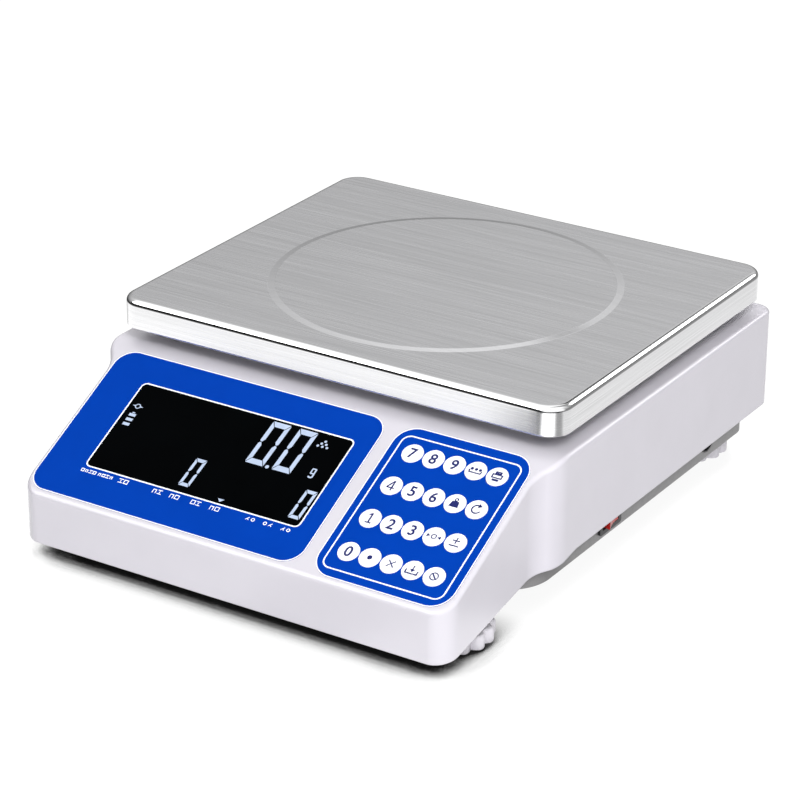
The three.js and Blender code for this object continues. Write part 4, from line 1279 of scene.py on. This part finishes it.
# The floor's light on the scale, and the bands that the steel's corners mirror in it: the direction,
# how wide and how soft each is in degrees, and its brightness.
FLOOR_LIGHT = 0.56
FLOOR_BANDS = ((-79, 3, 12, 0.45), (-50, 7, 16, 2.2), (-19, 3, 12, 0.5), (140, 20, 30, 0.6))


def stage_floor():
    """A white sweep with a painted contact shadow: its glow is dimmed where the scale stands close over it.
    """
    mesh = bpy.data.meshes.new("floor")
    reach = 14.0
    corners = [(-reach, -reach, 0), (reach, -reach, 0), (reach, reach, 0), (-reach, reach, 0)]
    mesh.from_pydata(corners, [], [(0, 1, 2, 3)])
    floor = bpy.data.objects.new("floor", mesh)
    bpy.context.scene.collection.objects.link(floor)
    look = Look("floor", (0.02, 0.02, 0.02, 1), 0.9, specular=0.0)
    sky = Sky(look.tree)
    # Painted shadow: the floor's glow is scaled down by how closely the scale covers each point.
    near = sky.node("ShaderNodeAmbientOcclusion", samples=16)
    near.inputs["Distance"].default_value = 0.032
    shade = sky.step(near.outputs["AO"], 0.46, 0.74)
    where = sky.node("ShaderNodeTexCoord").outputs["Object"]
    _height, way = sky.level(where)
    along = sky.node("ShaderNodeSeparateXYZ")
    sky.link(where, along.inputs[0])
    # The painted shadow is full in front of the scale and faint elsewhere.
    front = sky.step(along.outputs["Y"], -0.13, -0.085, 1.0, 0.1)
    shade = sky.blend(front, 1.0, shade)
    seen = sky.node("ShaderNodeLightPath")
    right = sky.toward(way, 40, 40, 20)
    mirrored = sky.blend(right, 1.5, 1.05)
    for direction, wide, soft, value in FLOOR_BANDS:
        mirrored = sky.blend(sky.toward(way, direction, wide, soft), mirrored, value)
    far = sky.step(seen.outputs["Ray Length"], 0.3, 0.4)
    mirrored = sky.blend(far, mirrored, sky.blend(right, 0.03, 0.35))
    bright = sky.blend(seen.outputs["Is Glossy Ray"], FLOOR_LIGHT, mirrored)
    bright = sky.blend(seen.outputs["Is Camera Ray"], bright, 1.04)
    look.set("Emission Color", (1, 1, 1, 1))
    look.link(sky.math("MULTIPLY", shade, bright), look.shader.inputs["Emission Strength"])
    mesh.materials.append(look.material)
    floor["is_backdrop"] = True


def studio_sky():
    """Even white light; reflections see a grey studio, bright overhead and dark low down in places."""
    world = bpy.data.worlds.new("studio")
    bpy.context.scene.world = world
    world.use_nodes = True
    world.node_tree.nodes.clear()
    sky = Sky(world.node_tree)
    up, way = sky.level(sky.node("ShaderNodeTexCoord").outputs["Generated"])
    grey = sky.step(up, 0.0, 0.66, GREY_LOW, GREY_HIGH, "LINEAR")
    grey = sky.math("MULTIPLY", grey, sky.across(way, 32, 0.25, 0.85, 1.15))
    mirrored = sky.blend(sky.step(up, 0.66, 0.8), grey, SKY_TOP)
    lit_side = sky.blend(sky.step(up, 0.1, 0.18), 0.25, 0.5)
    mirrored = sky.blend(sky.toward(way, 62, 22, 8), mirrored, lit_side)
    slot = sky.math("MULTIPLY", sky.step(up, 0.5, 0.56), sky.step(up, 0.74, 0.68))
    slot = sky.math("MULTIPLY", slot, sky.toward(way, 103, 9, 4))
    mirrored = sky.blend(slot, mirrored, 0.05)
    lit_front = sky.blend(sky.step(up, 0.34, 0.4), 0.015, SKY_TOP)
    mirrored = sky.blend(sky.toward(way, -124, 30, 14), mirrored, lit_front)
    mirrored = sky.blend(sky.toward(way, -40, 38, 20), mirrored, 1.5)
    seen = sky.node("ShaderNodeLightPath")
    strength = sky.blend(seen.outputs["Is Glossy Ray"], DOME, mirrored)
    strength = sky.blend(seen.outputs["Is Camera Ray"], strength, 1.04)
    light = sky.node("ShaderNodeBackground")
    light.inputs["Color"].default_value = (1, 1, 1, 1)
    sky.link(strength, light.inputs["Strength"])
    out = sky.node("ShaderNodeOutputWorld")
    sky.link(light.outputs[0], out.inputs["Surface"])


# How bright the studio is: for plain light, and for reflections low down, higher up and overhead.
DOME = 0.36
GREY_LOW = 0.16
GREY_HIGH = 0.98
SKY_TOP = 1.6


def soft_light(name, where, toward, size, power):
    light = bpy.data.lights.new(name, "AREA")
    light.shape = "RECTANGLE"
    light.size, light.size_y = size
    light.energy = power
    lamp = bpy.data.objects.new(name, light)
    lamp.location = where
    lamp.rotation_euler = (Vector(toward) - Vector(where)).to_track_quat("-Z", "Y").to_euler()
    lamp.visible_camera = False
    lamp.visible_glossy = False
    bpy.context.scene.collection.objects.link(lamp)
    return lamp


def strip_light(name, direction, height, size, brightness):
    """A bright strip 3 m away that only reflections see, at angles from +X and above the floor."""
    turn, rise = math.radians(direction), math.radians(height)
    where = 3 * Vector((math.cos(rise) * math.cos(turn), math.cos(rise) * math.sin(turn), math.sin(rise)))
    lamp = soft_light(name, where, (0, 0, 0.1), size, brightness * math.pi * size[0] * size[1])
    lamp.visible_glossy = True
    lamp.visible_diffuse = False


def camera():
    """Looks down on the front right corner, from 1.8 m away through a long lens."""
    data = bpy.data.cameras.new("camera")
    data.lens = 141.7
    data.sensor_width = 36
    data.clip_end = 60
    view = bpy.data.objects.new("camera", data)
    yaw, pitch, roll = (math.radians(a) for a in (32.29, 24.33, 0.33))
    ahead = Vector((-math.sin(yaw) * math.cos(pitch), math.cos(yaw) * math.cos(pitch), -math.sin(pitch)))
    right = Vector((math.cos(yaw), math.sin(yaw), 0))
    up = right.cross(ahead)
    across = math.cos(roll) * right + math.sin(roll) * up
    above = -math.sin(roll) * right + math.cos(roll) * up
    turn = Matrix((across, above, -ahead)).transposed().to_4x4()
    view.matrix_world = Matrix.Translation((0.8762, -1.3875, 0.8035)) @ turn
    bpy.context.scene.collection.objects.link(view)
    bpy.context.scene.camera = view


def corners(bounds):
    return [[float(value) for value in corner] for corner in bounds]


cover()
base()
display_film()
display_pane()
keypad_film()
for key_name, key_x, key_y in key_places():
    key(key_name, key_x, key_y)
pan()
pan_pads()
for corner_name in CORNERS:
    foot(corner_name)
power_switch()
rocker()
inlet()
finish_nodes()
stage_floor()
studio_sky()
soft_light("front_softbox", (1.3, -1.35, 1.8), (0, 0, 0.08), (1.2, 1.2), 46)
soft_light("rear_fill", (-1.4, 1.7, 1.1), (0, 0, 0.08), (1.4, 1.0), 36)
soft_light("low_fill", (1.3, -2.1, 0.75), (0, 0, 0.08), (1.2, 0.6), 20)
strip_light("front_strip", -124, 38, (3.4, 1.6), 4.5)
strip_light("right_strip", 64, 28, (1.1, 1.0), 6)
camera()
bpy.context.scene.view_settings.view_transform = "Standard"

{"cad": corners(cad_bounds), "visual": corners(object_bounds())}
